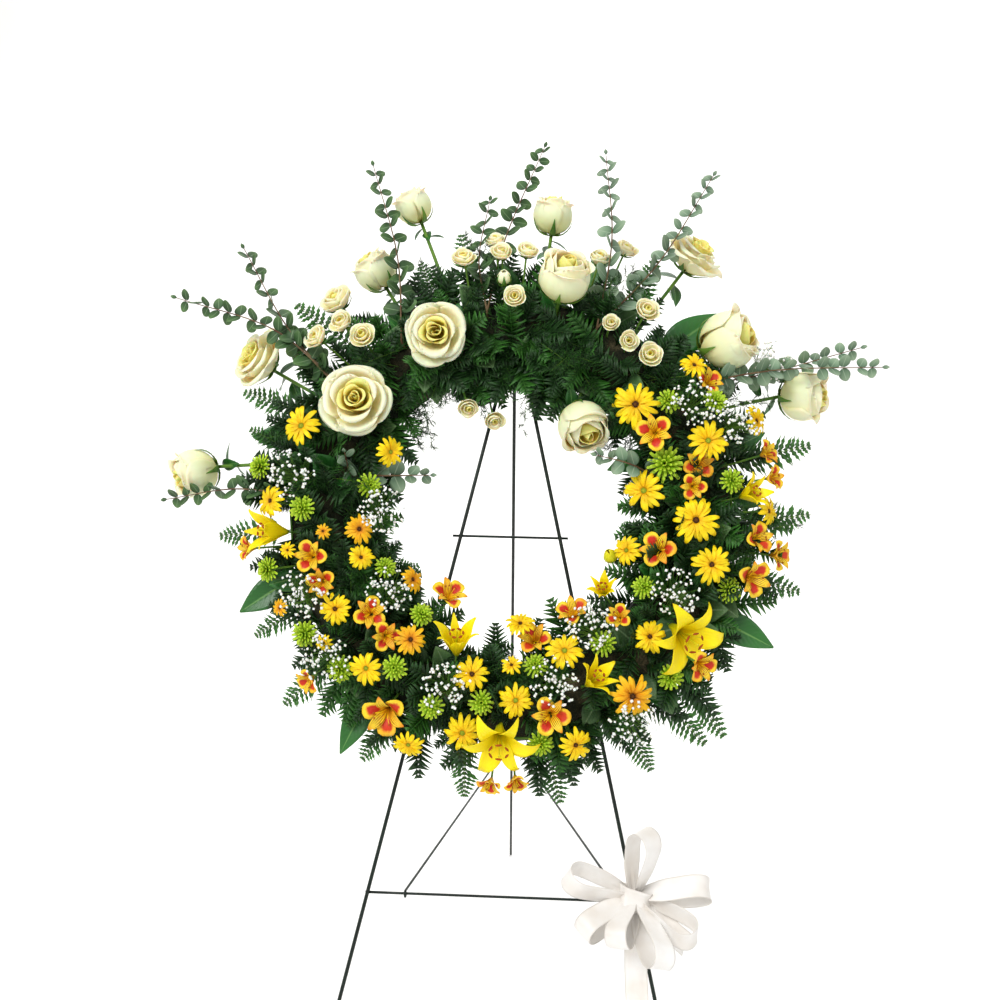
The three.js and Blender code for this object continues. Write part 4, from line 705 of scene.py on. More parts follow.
class Bloom:
    """Puts petals, stamens and an eye that are made about +Z at a bloom's place and facing."""

    def __init__(self, piece, place, facing, turn, reach):
        self.piece, self.place, self.reach = piece, place, reach
        self.matrix = turned(facing, turn)

    def put(self, points):
        return np.asarray(points) @ self.matrix.T + self.place

    def petal(self, made, material, thickness=0.5):
        grid, marks = made
        self.piece.sheet(self.put(grid), material, marks, thickness)

    def rod(self, path, radius, material, sides=5):
        self.piece.tube(self.put(np.asarray(path, float) * self.reach), radius, material, sides)

    def layers(self, layers, shape, materials, loose):
        start = uniform(0, TURN)
        for k, (count, half_degrees, line, curl) in enumerate(layers):
            for i in range(count):
                angle = start + TURN * (i + 0.37 * k) / count + gauss(0, 0.12)
                reach = self.reach * uniform(0.97, 1.02)
                half = half_degrees * DEG * uniform(0.92, 1.08)
                made = wrapped_petal(line, reach, half, angle, shape, curl, loose)
                self.petal(made, materials[min(k, len(materials) - 1)])

    def sepals(self, line, half_width):
        for i in range(5):
            made = flat_petal(line, self.reach, half_width, TURN * i / 5, (6, 3), SEPAL_WIDTHS, -0.3)
            self.petal(made, STEM, 0.4)


# Each layer of a rose: petals, half angle that each wraps, [radius, height] of its middle line, edge curl.
OPEN_ROSE = [
    [5, 45, [(0.1, -0.28), (0.5, -0.14), (0.82, 0.1), (1.0, 0.34), (1.1, 0.38), (1.16, 0.24)], 0.06],
    [4, 54, [(0.1, -0.24), (0.45, -0.04), (0.7, 0.28), (0.82, 0.54), (0.93, 0.62), (1.0, 0.5)], 0.06],
    [3, 68, [(0.1, -0.18), (0.36, 0.04), (0.5, 0.38), (0.56, 0.68), (0.66, 0.8), (0.76, 0.74)], 0.05],
    [3, 72, [(0.08, -0.1), (0.26, 0.1), (0.38, 0.42), (0.4, 0.74), (0.47, 0.86), (0.55, 0.84)], 0.04],
    [3, 78, [(0.06, 0), (0.18, 0.2), (0.27, 0.45), (0.27, 0.78), (0.32, 0.88), (0.37, 0.88)], 0.02],
    [2, 105, [(0.05, 0.1), (0.11, 0.3), (0.16, 0.55), (0.16, 0.8), (0.19, 0.87)], 0.0],
    [2, 120, [(0.02, 0.2), (0.05, 0.4), (0.07, 0.6), (0.06, 0.82), (0.08, 0.86)], 0.0],
]
ROSE_BUD = [
    [3, 66, [(0.1, -0.38), (0.62, -0.2), (0.95, 0.22), (1.0, 0.7), (0.9, 1.06), (1.0, 1.2),
              (1.1, 1.2)], 0.07],
    [3, 70, [(0.1, -0.3), (0.52, -0.1), (0.85, 0.38), (0.88, 0.9), (0.72, 1.26),
              (0.78, 1.38), (0.86, 1.4)], 0.05],
    [2, 100, [(0.06, 0), (0.4, 0.2), (0.66, 0.6), (0.66, 1.1), (0.5, 1.36), (0.54, 1.45)], 0.03],
    [2, 105, [(0.06, 0.2), (0.3, 0.4), (0.46, 0.8), (0.42, 1.2), (0.3, 1.42), (0.32, 1.48)], 0.02],
    [2, 120, [(0.03, 0.4), (0.14, 0.6), (0.22, 0.95), (0.18, 1.3), (0.12, 1.47)], 0.0],
]
SPRAY_ROSE = [
    [4, 56, [(0.1, -0.25), (0.55, -0.02), (0.88, 0.32), (0.95, 0.56), (1.04, 0.6)], 0.06],
    [3, 68, [(0.1, -0.15), (0.45, 0.1), (0.68, 0.45), (0.66, 0.72), (0.74, 0.8)], 0.04],
    [2, 100, [(0.08, 0), (0.3, 0.2), (0.45, 0.5), (0.4, 0.78), (0.44, 0.84)], 0.02],
    [2, 110, [(0.05, 0.1), (0.16, 0.3), (0.24, 0.55), (0.18, 0.8)], 0.0],
]


CLOSED_ROSE = [
    [3, 75, [(0.1, -0.9), (0.8, -0.4), (0.95, 0.2), (0.6, 0.9), (0.35, 1.2)], 0.0],
    [2, 110, [(0.1, -0.6), (0.6, -0.2), (0.7, 0.3), (0.3, 1.2)], 0.0],
]


def rose(bloom, layers, shape, loose, sepal, half_width):
    """A rose: the petals of its layers, yellower at its heart, and five sepals."""
    bloom.layers(layers, shape, [ROSE, ROSE, ROSE, ROSE_HEART], loose)
    bloom.sepals(sepal, half_width)


FLORETS = 22
GOLDEN_ANGLE = 2.39996


def eye_of(bloom, radius, height, material):
    """The domed eye of a daisy, with its florets in two sets of spirals."""
    base = 0.04 * bloom.reach
    path = bloom.put([[0, 0, base + height * t] for t in (0, 0.35, 0.7, 0.92, 1)])
    bloom.piece.tube(path, [radius * w for w in (1, 0.95, 0.72, 0.4, 0.1)], material, 10)
    for i in range(FLORETS):
        share = sqrt((i + 0.5) / FLORETS)
        angle = i * GOLDEN_ANGLE
        top = height * sqrt(max(0, 1 - share**2))
        place = vec(radius * share * cos(angle), radius * share * sin(angle), base + top)
        tip = place + vec(cos(angle) * share, sin(angle) * share, 1.2) * 0.55
        path = bloom.put([place - vec(0, 0, 0.6), tip])
        bloom.piece.tube(path, [radius * 0.11, radius * 0.05], material, 4)


DAISY_WIDTHS = [0.4, 0.7, 0.95, 1, 0.9, 0.45]


def daisy(bloom):
    small = bloom.reach < 14
    bronze = not small and RANDOM.random() < 0.14
    material = BRONZE if bronze or small and RANDOM.random() < 0.5 else DAISY
    for length, height, count in ((1.0, 0.02, 11 if small else 14), (0.84, 0.1, 8 if small else 11)):
        for i in range(count):
            angle = TURN * (i + 5 * height) / count + gauss(0, 0.09)
            droop = uniform(-0.16, 0.1)
            rises = [(0.1, 0.03), (0.4, 0.15), (0.75, 0.14 + droop * 0.5), (1, droop)]
            line = [(r, height + rise) for r, rise in rises]
            reach = bloom.reach * length * uniform(0.85, 1.06)
            half_width = uniform(0.105, 0.145)
            made = flat_petal(line, reach, half_width, angle, (6, 4), DAISY_WIDTHS, 0.45, gauss(0, 0.2))
            bloom.petal(made, material, 0.4)
    dark = small or bronze or RANDOM.random() < 0.45
    eye_of(bloom, bloom.reach * 0.19, bloom.reach * 0.15, DAISY_EYE if dark else DAISY_GREEN_EYE)


# Each ring of a chrysanthemum: petals, half width and middle line.
MUM = [
    (15, 0.08, [(0.1, 0), (0.55, -0.04), (0.97, 0.02)]),
    (15, 0.075, [(0.1, 0.05), (0.55, 0.16), (0.88, 0.26)]),
    (13, 0.07, [(0.08, 0.1), (0.45, 0.32), (0.68, 0.5)]),
    (10, 0.065, [(0.05, 0.2), (0.28, 0.46), (0.42, 0.66)]),
    (6, 0.06, [(0.03, 0.3), (0.1, 0.55), (0.16, 0.74)]),
]


def mum(bloom):
    for count, half_width, line in MUM:
        for i in range(count):
            angle = TURN * (i + uniform(0.2, 0.6)) / count
            reach = bloom.reach * uniform(0.88, 1.04)
            made = flat_petal(line, reach, half_width, angle, (5, 3), [0.7, 0.8, 0.9, 1, 0.7], 1.1)
            bloom.petal(made, MUM_PETAL)


def alstroemeria(bloom):
    """Three broad outer petals, three narrow inner ones and five stamens."""
    for i in range(3):
        turn = TURN * i / 3 + gauss(0, 0.06)
        line = [(0.05, -0.45), (0.28, -0.02), (0.66, 0.3), (1.0, 0.3)]
        widths = [0.16, 0.4, 0.85, 1, 0.95, 0.42]
        bloom.petal(flat_petal(line, bloom.reach, 0.42, turn, (8, 7), widths, 0.35), ALSTROEMERIA)
        line = [(0.05, -0.45), (0.26, 0.05), (0.6, 0.42), (0.95, 0.52)]
        widths = [0.25, 0.5, 0.9, 1, 0.7, 0.12]
        inner = flat_petal(line, bloom.reach, 0.25, turn + pi / 3, (8, 5), widths, 0.35)
        bloom.petal(inner, ALSTROEMERIA_INNER)
    for i in range(5):
        angle = 0.5 + uniform(0, 6.2)
        x, y = cos(angle), sin(angle)
        path = smooth([(0, 0, -0.35), (0.15 * x, 0.15 * y, 0.1), (0.42 * x, 0.42 * y, 0.36)], 6)
        bloom.rod(path, 0.35, DAISY, 4)
        bloom.rod([path[-1], path[-1] + vec(0.06 * x, 0.06 * y, 0.05)], 0.9, ANTHER, 5)


LILY_OPEN = [(0.04, -0.72), (0.12, -0.36), (0.36, 0.02), (0.7, 0.2), (0.96, 0.1), (1.04, -0.04)]
LILY_HALF = [(0.04, -0.78), (0.2, -0.4), (0.4, 0.0), (0.6, 0.36), (0.82, 0.56), (0.92, 0.56)]


def lily(bloom, line):
    """Six petals, every second one narrower, with six stamens and a pistil."""
    for i in range(6):
        length, half_width, cup = (0.98, 0.2, 0.22) if i % 2 else (1.03, 0.29, 0.3)
        widths = [0.2, 0.42, 0.82, 1, 0.8, 0.42, 0.04]
        made = flat_petal(line, bloom.reach * length, half_width, TURN * i / 6 + 0.02, (13, 7), widths, cup,
                          gauss(0, 0.08))
        bloom.petal(made, LILY, 0.7)
        angle = TURN * (i + 0.5) / 6
        x, y = cos(angle), sin(angle)
        path = smooth([(0, 0, -0.55), (0.08 * x, 0.08 * y, -0.05), (0.24 * x, 0.24 * y, 0.32)], 7)
        bloom.rod(path, 0.6, LILY_BUD, 5)
        aside = vec(-y, x, 0.15) * 0.09
        bloom.rod([path[-1] - aside, path[-1] - aside * 0.4, path[-1] + aside * 0.4, path[-1] + aside],
                  [0.5, 1.3, 1.3, 0.5], ANTHER, 6)
    pistil = [(0, 0, -0.55), (0, 0, 0), (0.02, 0, 0.4), (0.02, 0, 0.44)]
    bloom.rod(pistil, [0.9, 0.8, 0.8, 1.6], LILY_BUD, 6)


def lily_in_bud(bloom):
    for i in range(3):
        line = [(0.1, -1.2), (0.8, -0.4), (1.0, 0.2), (0.5, 1.1), (0.1, 1.35)]
        bloom.petal(wrapped_petal(line, bloom.reach, 72 * DEG, TURN * i / 3, (10, 7)), LILY_BUD)


# How each kind is made, where its neck and its highest point are in the CAD source, in radii, and its shape.
KINDS = {
    "open_rose": (rose, -0.3, 0.78, OPEN_ROSE, (12, 13), 0.1,
                  [(0.08, -0.32), (0.45, -0.25), (0.8, -0.02), (0.98, 0.12)], 0.16),
    "rose_bud": (rose, -0.4, 1.5, ROSE_BUD, (13, 13), 0.05,
                 [(0.08, -0.42), (0.5, -0.34), (0.9, 0.0), (1.04, 0.4)], 0.18),
    "spray_rose": (rose, -0.3, 0.7, SPRAY_ROSE, (7, 7), 0.12,
                   [(0.08, -0.3), (0.5, -0.2), (0.9, 0.1), (1.0, 0.3)], 0.18),
    "bud": (rose, -1.2, 1.3, CLOSED_ROSE, (7, 6), 0.06,
            [(0.1, -1.1), (0.8, -0.7), (1.0, 0.1), (0.7, 0.8)], 0.42),
    "daisy": (daisy, -0.25, 0.34), "mum": (mum, -0.3, 0.7), "alstroemeria": (alstroemeria, -0.5, 0.1),
    "lily": (lily, -0.75, -0.12, LILY_OPEN), "half_lily": (lily, -0.8, 0, LILY_HALF),
    "lily_bud": (lily_in_bud, -1.2, 1.3),
}


def stem_to_moss(piece, neck, facing, radius, material):
    """A stem from a bloom's neck that curves down into the moss below it."""
    angle = atan2(neck[1], neck[0])
    out = max(-30, min(26, hypot(neck[0], neck[1]) - CORE_R))
    root = on_moss(out, angle, 50)
    reach = np.linalg.norm(neck - root)
    middle = (neck - facing * reach * 0.4) * 0.5 + root * 0.5 + vec(0, 0, reach * 0.08)
    piece.tube(smooth([neck + facing * 2, middle, root], 9), radius, material, 6)


def add_bloom(piece, corners, kind, u, v, size, facing, turn, height, stem):
    make, neck, top, *shape = KINDS[kind]
    reach = size / 2
    settled = corners.height(u, v, facing, top * reach, height)
    bloom = Bloom(piece, vec(u, v, settled), facing, turn, reach)
    make(bloom, *shape)
    stem_to_moss(piece, bloom.place + facing * neck * reach, facing, stem, STEM)
    return bloom


def add_roses():
    for i, (u, v, size, *lean, kind, lift) in enumerate(ROSES):
        name = f"rose_{i + 1:02d}"
        piece = Piece()
        facing = bloom_facing(u, v, lean)
        height = crown(u, v) + lift - size * 0.3
        bloom = add_bloom(piece, Corners(name), kind, u, v, size, facing, i, height, 2.3)
        for k in range(3):
            side = turned(facing, 2.1 * k + i) @ vec(1, 0, 0)
            root = bloom.place - facing * size * (0.35 + 0.14 * k)
            way = side - facing * 0.3
            leaf(piece, root, way, facing, size * 0.5, size * 0.14, BROAD, (8, 5), 0.15, 0.25, 0.8)
        piece.make(name + "_flower", replaces=[name], slot="rose_petals")


def add_sprays():
    for name, (usual, heads) in SPRAYS.items():
        piece = Piece()
        corners = Corners(name)
        for i, head in enumerate(heads):
            u, v, size, *lean, kind = (*head, *(0, 0, usual)[len(head) - 3 :])
            sunk = 10 if kind in ("mum", "alstroemeria") else 2
            facing = bloom_facing(u, v, lean)
            add_bloom(piece, corners, kind, u, v, size, facing, i * 0.7, crown(u, v) - sunk, 1.3)
        piece.make(name + "_spray", replaces=[name], slot=usual.split("_")[-1] + "_petals")


TUFT_R = 29
TUFT_BLOSSOMS = 76


def add_babys_breath():
    """Tufts of tiny white blossoms, each on its own thread of a forked stem."""
    for name, tufts in BREATH.items():
        piece = Piece()
        for u, v in tufts:
            place = vec(u, v, crown(u, v) + 12)
            facing = bloom_facing(u, v, [0, 0])
            foot = place - facing * 30
            stem_to_moss(piece, foot, facing, 0.8, STEM)
            for _ in range(TUFT_BLOSSOMS):
                angle, share = uniform(0, TURN), TUFT_R * sqrt(RANDOM.random())
                off = vec(share * cos(angle), share * sin(angle), uniform(-12, 11))
                tip = place + turned(facing) @ off
                fork = foot + (tip - foot) * 0.4 + gauss(0, 2, 3)
                piece.thread([foot, fork, tip], 0.22, STEM)
                way = unit(tip - fork)
                size = uniform(1.7, 2.7)
                path = [tip - way, tip, tip + way * size * 0.7]
                piece.tube(path, [size * 0.5, size, size * 0.5], TINY, 4)
        piece.make(name + "_tufts", replaces=[name], slot="tiny_flowers")


# Ferns, broad leaves, fine needles and eucalyptus


def frond(piece, root, way, length, width, sag, material, pairs=13, fine=True):
    """A fern frond: pairs of toothed leaflets on a bent midrib, longest near its lower third."""
    way = unit(way)
    bends = 12 if fine else 5
    t = np.linspace(0, 1, bends)[:, None]
    rib = drooping(root, way, length, sag, t)
    piece.tube(rib, np.linspace(0.8, 0.25, bends), STEM if fine else material, 4 if fine else 3)
    across = unit(np.cross(UP_Z, way))
    rows, columns = (7, 3) if fine else (2, 2)
    for i in range(pairs):
        share = 0.1 + 0.88 * (i + 0.5) / pairs
        place = drooping(root, way, length, sag, share)
        along = unit(way * length - 2 * UP_Z * sag * share)
        up = unit(np.cross(along, across))
        reach = width * 1.25 * sin(pi * min(1, 0.2 + 0.8 * share)) ** 0.8 + 2
        for side in (-1, 1):
            forward = 0.5 + gauss(0, 0.1)
            direction = unit(across * side * 0.86 + along * forward + up * gauss(0.0, 0.2))
            forward = unit(np.cross(up, direction))
            s = np.linspace(0, 1, rows)[:, None, None]
            a = np.linspace(-1, 1, columns)[None, :, None]
            teeth = 0.72 + 0.28 * np.cos(s * 6 * pi) if fine else 1
            half = length * 0.42 / pairs * (1 - 0.15 * s) * np.clip(1.25 - s**2 * 1.15, 0.1, 1) * teeth
            grid = place + direction * reach * s + forward * a * half
            grid = grid - up * (0.18 * reach * s**2 + 0.25 * np.abs(a) * half)
            piece.sheet(grid, material, leaf_marks(s, a), 0.35)


def fitted_blade(corners, blade, side):
    """Where the CAD source fitted a blade: its root, way, length, width and sag."""
    degrees, length, width, rise, sideways, *broad = blade
    bend = 0.14 if broad else 0.16
    best = None
    for turn, lift, cut in BLADE_TRIES:
        angle = (degrees + turn) * DEG
        root = on_moss(side * SHOULDER_OUT, angle, SHOULDER_N)
        way = polar(side, angle, 0) + polar(sideways, angle + pi / 2, 0)
        way = unit(vec(*unit(way)[:2], rise + lift))
        tip = root + way * length * cut - vec(0, 0, length * bend)
        miss = corners.miss(tip)
        if best is None or miss < best[0]:
            best = (miss, root, way, length * cut, width * cut, length * bend)
    return best[1:]


def add_greens():
    """The rails of greens: the CAD source's own blades, and short fronds that fill between the flowers."""
    for name, (side, low, high, blades) in GREENS.items():
        piece = Piece()
        corners = Corners(name)
        turns = np.linspace(low, high, 24) * DEG
        line = [on_moss(side * SHOULDER_OUT, turn, SHOULDER_N) for turn in turns]
        piece.tube(smooth(line, 60), 1.6, STEM, 6)
        for blade in blades:
            root, way, length, width, sag = fitted_blade(corners, blade, side)
            if blade[-1] != "leaf":
                frond(piece, root, way, length, width, sag, FERN)
                continue
            leaf(piece, root, way, UP_Z, length, width, BROAD, (12, 9), sag / length, 0.2, 0.85)
            piece.tube(smooth([root, root + way * length * 0.5 - vec(0, 0, sag * 0.25)], 4), 0.7, STEM, 5)
        fill_greens(piece, side, low, high)
        piece.make(name + "_leaves", replaces=[name], slot="leaves")


PALE_KINDS = ("spray_rose", "half_lily")
PALE_HEADS = [head for usual, heads in SPRAYS.values() if usual in PALE_KINDS for head in heads]


def clear_of_blooms(places, share):
    """Whether no place is in front of a rose or lily, whose pale petals stay free of needles."""
    return all(hypot(p[0] - u, p[1] - v) > size * share
               for p in places for u, v, size, *_ in ROSES + PALE_HEADS)


def fill_greens(piece, side, low, high):
    """Short dark fronds and leaves that cover the moss between the flowers, below the crown of blooms."""
    count = round((high - low) * (1.7 if side > 0 else 0.9))
    for _ in range(count):
        angle = uniform(low, high) * DEG
        out = 47 - 93 * RANDOM.random() ** 1.3 if side > 0 else uniform(-48, 0)
        root = on_moss(out, angle, 58 - MOSS_FALL * out * out)
        tilt = out / 44 + gauss(0, 0.35)
        swirl = gauss(0, 0.7)
        way = polar(tilt, angle, 0) + polar(swirl, angle + pi / 2, 0) + vec(0, 0, uniform(0.35, 0.9))
        length = uniform(48, 84)
        if not clear_of_blooms([root + unit(way) * length * t for t in (0.5, 1)], 0.3):
            continue
        if RANDOM.random() < 0.84:
            tone = DARK_FERN if RANDOM.random() < 0.75 else FERN
            frond(piece, root, way, length, length * 0.2, length * 0.25, tone, 10, False)
        else:
            half = length * 0.2
            tone = DARK_EUCALYPTUS if RANDOM.random() < 0.6 else BROAD
            leaf(piece, root, way, UP_Z, length * 0.55, half, tone, (7, 5), uniform(0, 0.3), 0.25)


# Where the plumes stand: first and last turn, how many, how far inward and outward their roots are, longest.
NEEDLE_SPANS = [["top", 45, 140, 66, -44, 44, 120], ["inner", 30, 150, 30, -48, -30, 62],
                ["right", 325, 405, 24, -30, 44, 105], ["left", 135, 220, 26, -30, 44, 95],
                ["bottom", 225, 320, 18, -30, 40, 95]]
# A plume's side branches, and the needles on each of them.
BRANCHES = 13
NEEDLES = 12


def needle_sprig(piece, root, way, length):
    """A plume of fine green needles: a stem, side branches, and a brush of needles on each."""
    t = np.linspace(0, 1, 6)[:, None]
    spine = drooping(root, way, length, length * 0.25, t)
    piece.tube(spine, np.linspace(0.6, 0.25, 6), STEM, 3)
    for share in np.linspace(0.15, 0.98, BRANCHES):
        place = drooping(root, way, length, length * 0.25, share)
        aside = unit(np.cross(way, gauss(0, 1, 3)))
        branch = unit(way * 0.8 + aside)
        reach = length * 0.3 * (1.15 - share)
        piece.thread([place, place + branch * reach], 0.25, DARK_FERN)
        for k in range(NEEDLES):
            start = place + branch * reach * (k + 1) / NEEDLES
            needle = unit(branch + gauss(0, 0.7, 3)) * uniform(6, 12)
            tone = FERN if RANDOM.random() < 0.4 else DARK_FERN
            piece.thread([start, start + needle], [0.42, 0.1], tone)


def add_needles():
    """Plumes between the roses at the top and here and there round the ring."""
    for name, low, high, count, inward, outward, longest in NEEDLE_SPANS:
        piece = Piece()
        for _ in range(count):
            angle = uniform(low, high) * DEG
            out = uniform(inward, outward)
            root = on_moss(out, angle, 56 - MOSS_FALL * out * out)
            way = polar(out / 40 + gauss(0, 0.3), angle, 0) + polar(gauss(0, 0.6), angle + 1.57, 0)
            way = unit(way + vec(0, 0, uniform(0.3, 0.8)))
            length = uniform(0.5, 1) * longest
            if clear_of_blooms([root + way * length * t for t in (0.3, 0.6, 0.9)], 0.58):
                needle_sprig(piece, root, way, length)
        piece.make("needle_plumes_" + name, slot="leaves")


def leafy_stem(piece, knot, middle, tip, material):
    """A eucalyptus stem with round leaves in opposite pairs, smaller towards its tip."""
    tip = tip + (tip - knot) * (0.07 if tip[1] > 250 else 0.01)
    stem = smooth([knot, middle, tip], 40)
    length = line_length(stem)
    piece.tube(stem, np.linspace(1.4, 0.5, 40), BROWN_STEM, 6)
    share, k = 0.2, 0
    while share < 0.99:
        i = min(int(share * 39), 38)
        along = unit(stem[i + 1] - stem[i])
        level = unit(np.cross(along, UP_Z))
        roll = (0.7 if k % 2 else -0.7) + gauss(0, 0.2)
        across = level * cos(roll) + np.cross(along, level) * sin(roll)
        half = 28 * (1 - 0.52 * share) * uniform(0.88, 1.08)
        for side in (-1, 1):
            way = unit(across * side + along * uniform(0.2, 0.5))
            normal = unit(np.cross(way, along) * side + along * 0.3)
            root = stem[i] + way * 1.2
            leaf(piece, root, way, normal, half, half * 0.44, material, (9, 7), -0.08, 0.12, 0.9, 0.6)
        share += half * 0.88 / length
        k += 1
    leaf(piece, stem[-1], unit(stem[-1] - stem[-2]), UP_Z, 9, 2.6, material, (5, 3))


def eucalyptus_foot(corners, degrees, out):
    """The knot where the CAD source joined a bunch of stems, and its turn round the ring."""
    for turn in (0, 4, -4, 8, -8, 12, -12):
        for rise in (14, 8, 22):
            angle = (degrees + turn) * DEG
            knot = polar(CORE_R + out * 1.5, angle, 60 - MOSS_FALL * out * out + rise)
            if corners.miss(knot) < 2.6:
                return knot, angle
    return polar(CORE_R + out * 1.5, degrees * DEG, 72), degrees * DEG


def add_eucalyptus():
    for name, (degrees, out, stems) in EUCALYPTUS.items():
        piece = Piece()
        corners = Corners(name)
        knot, angle = eucalyptus_foot(corners, degrees, out)
        piece.tube(smooth([on_moss(out, angle, 46), knot], 4), 1.5, BROWN_STEM, 6)
        for tip in np.array(stems, float):
            aside = unit(np.cross(tip - knot, UP_Z))
            middles = [(knot + tip) / 2 + aside * sway + vec(0, 0, rise)
                       for rise in (8, 0, 20, -8, 32, -20, -30) for sway in (0, 12, -12, 26, -26)]
            middle = min(middles, key=corners.miss)
            material = EUCALYPTUS_LEAF if "right" in name or "inner" in name else DARK_EUCALYPTUS
            leafy_stem(piece, knot, middle, tip, material)
        piece.make(name + "_stems", replaces=[name], slot="eucalyptus_leaves")


# Moss, easel and bow


MOSS_TURNS = 200
MOSS_ROUND = 36
MOSS_FIBRES = 900


def add_moss():
    """The matted moss, with loose fibres on its face."""
    section = smooth([[out, n, 0] for out, n in MOSS_SECTION + MOSS_SECTION[:1]], MOSS_ROUND + 1)[:-1, :2]
    section[:, 1] = np.maximum(section[:, 1], MOSS_BACK)
    angle = np.linspace(0, TURN, MOSS_TURNS, endpoint=False)[:, None]
    column = np.arange(MOSS_ROUND)[None, :]
    rough = sum(np.sin(angle * RANDOM.integers(7, 60) + column * uniform(0.3, 2.4) + uniform(0, 6.3))
                for _ in range(14)) / 7
    out = section[None, :, 0] * (0.985 + 0.03 * rough)
    n = np.maximum(section[None, :, 1] * (0.985 + 0.02 * rough), MOSS_BACK)
    radius = CORE_R + out
    grid = np.stack([radius * np.cos(angle), radius * np.sin(angle), n + 0 * angle], axis=-1)
    piece = Piece()
    quads = grid_quads(MOSS_TURNS + 1, MOSS_ROUND, True) % (MOSS_TURNS * MOSS_ROUND)
    marks = np.stack([0 * n, rough * 0 + 0.5, np.clip(rough * 0.5 + 0.3, 0, 1)], axis=-1)
    piece.add(grid, quads[:, ::-1], marks, MOSS)
    for _ in range(MOSS_FIBRES):
        turn = uniform(0, TURN)
        k = RANDOM.integers(0, MOSS_ROUND)
        out_k, n_k = section[k]
        if n_k <= MOSS_BACK + 1:
            continue
        start = polar(CORE_R + out_k, turn, n_k)
        away = unit(start - polar(CORE_R, turn, 24))
        drift = gauss(0, 1, 3)
        length = uniform(7, 18)
        path = smooth([start - away * 2, start + away * 2 + drift * length * 0.3,
                       start + away * 0.5 + drift * length * 0.6], 5)
        piece.thread(path, 0.35, MOSS)
    piece.make("moss_cover", replaces=["moss_ring"], slot="moss")


def on_plane(x, down, n=0.0):
    """A point of the leaning plane, measured down from the legs' apex."""
    return vec(x, -down, n)


def world_of(down):
    """A point of the leaning plane at x = 0, measured from the line of the front feet."""
    return vec(0, (LEG_LENGTH - down) * sin(LEAN), (LEG_LENGTH - down) * cos(LEAN))


WELD_R = 3.1


def rod_piece(name, path, radius, to_world, body="stand", welds=()):
    """A wire that stands for the CAD node of that name, with a bead of weld at each joint."""
    piece = Piece(to_world)
    piece.tube(path, radius, ENAMEL, 20)
    for place in welds:
        steps = np.linspace(-0.9, 0.9, 7)
        path = [place + vec(0, 0, WELD_R * t) for t in steps]
        piece.tube(path, [WELD_R * sqrt(1 - t * t) for t in steps], ENAMEL, 12)
    piece.make(name + "_wire", body, [name], "wire")


def add_easel():
    """The wires of the easel, each in the place of its CAD node."""
    foot_cut = LEG_R * tan(LEAN)
    for side, name in ((-1, "front_leg_left"), (1, "front_leg_right")):
        ends = [on_plane(side * LEG_SPREAD * down, down) for down in (LEG_TOP, LEG_LENGTH - foot_cut)]
        welds = [on_plane(side * LEG_SPREAD * down, down, -1) for down in (UPPER_BAR_DOWN, LOWER_BAR_DOWN)]
        rod_piece(name, np.linspace(*ends, 9), LEG_R, plane_to_world, welds=welds)
    bars = [("upper_crossbar", UPPER_BAR_HALF, UPPER_BAR_DOWN, -(LEG_R + GAP + WIRE_R), WIRE_R),
            ("lower_crossbar", LEG_SPREAD * LOWER_BAR_DOWN - 3, LOWER_BAR_DOWN, 0, WIRE_R),
            ("hinge_bar", LEG_SPREAD * HINGE_DOWN - 3, HINGE_DOWN, 0, LEG_R)]
    for name, half, down, n, radius in bars:
        path = np.linspace(on_plane(-half, down, n), on_plane(half, down, n), 9)
        rod_piece(name, path, radius, plane_to_world)
    hinge = world_of(HINGE_DOWN)
    tilt = atan2(REAR_FOOT_Y - hinge[1], hinge[2])
    back = vec(0, cos(tilt), sin(tilt))
    along = vec(0, sin(tilt), -cos(tilt))
    start = hinge + back * (2 * LEG_R + RUNNING_GAP)
    foot = start + along * (start[2] / cos(tilt) - LEG_R * tan(tilt))
    eye = eye_path(hinge, 2 * LEG_R + RUNNING_GAP, tilt, 290 * DEG)
    rod_piece("rear_leg", [*eye[::-1], *np.linspace(start, foot, 8)[1:]], LEG_R, floor_to_world, "rear_leg")
    bar = world_of(LOWER_BAR_DOWN)
    on_leg = start + along * (start[2] - SPREADER_HEIGHT) / cos(tilt)
    bend = on_leg + back * (LEG_R + GAP + WIRE_R)
    level = atan2(bend[2] - bar[2], bend[1] - bar[1])
    forward = vec(0, cos(level), sin(level))
    side_x = LEG_R + WIRE_R + 3
    for side, name in ((-1, "spreader_left"), (1, "spreader_right")):
        hook_r = 2 * WIRE_R + RUNNING_GAP
        centre = bar + vec(HOOK_X[name], 0, 0)
        hook = eye_path(centre, hook_r, level + 90 * DEG, 270 * DEG)
        near = vec(side * side_x, bend[1], bend[2]) - forward * side_x
        turn_in = vec(side * (side_x - 2.2), *(bend - forward * 0.5)[1:])
        catch = vec(side * GAP, bend[1], bend[2])
        corner = smooth([near, near + forward * (side_x - 3), turn_in, catch], 9)
        path = [*hook[::-1], *np.linspace(hook[0], near, 8)[1:-1], *corner]
        rod_piece(name, path, WIRE_R, floor_to_world, "spreader")


def eye_path(centre, radius, start_angle, sweep):
    """The bend of a wire's eye or hook round a bar that runs across the easel."""
    angles = start_angle + sweep * np.linspace(0, 1, 20)
    return [centre + vec(0, radius * cos(a), radius * sin(a)) for a in angles]


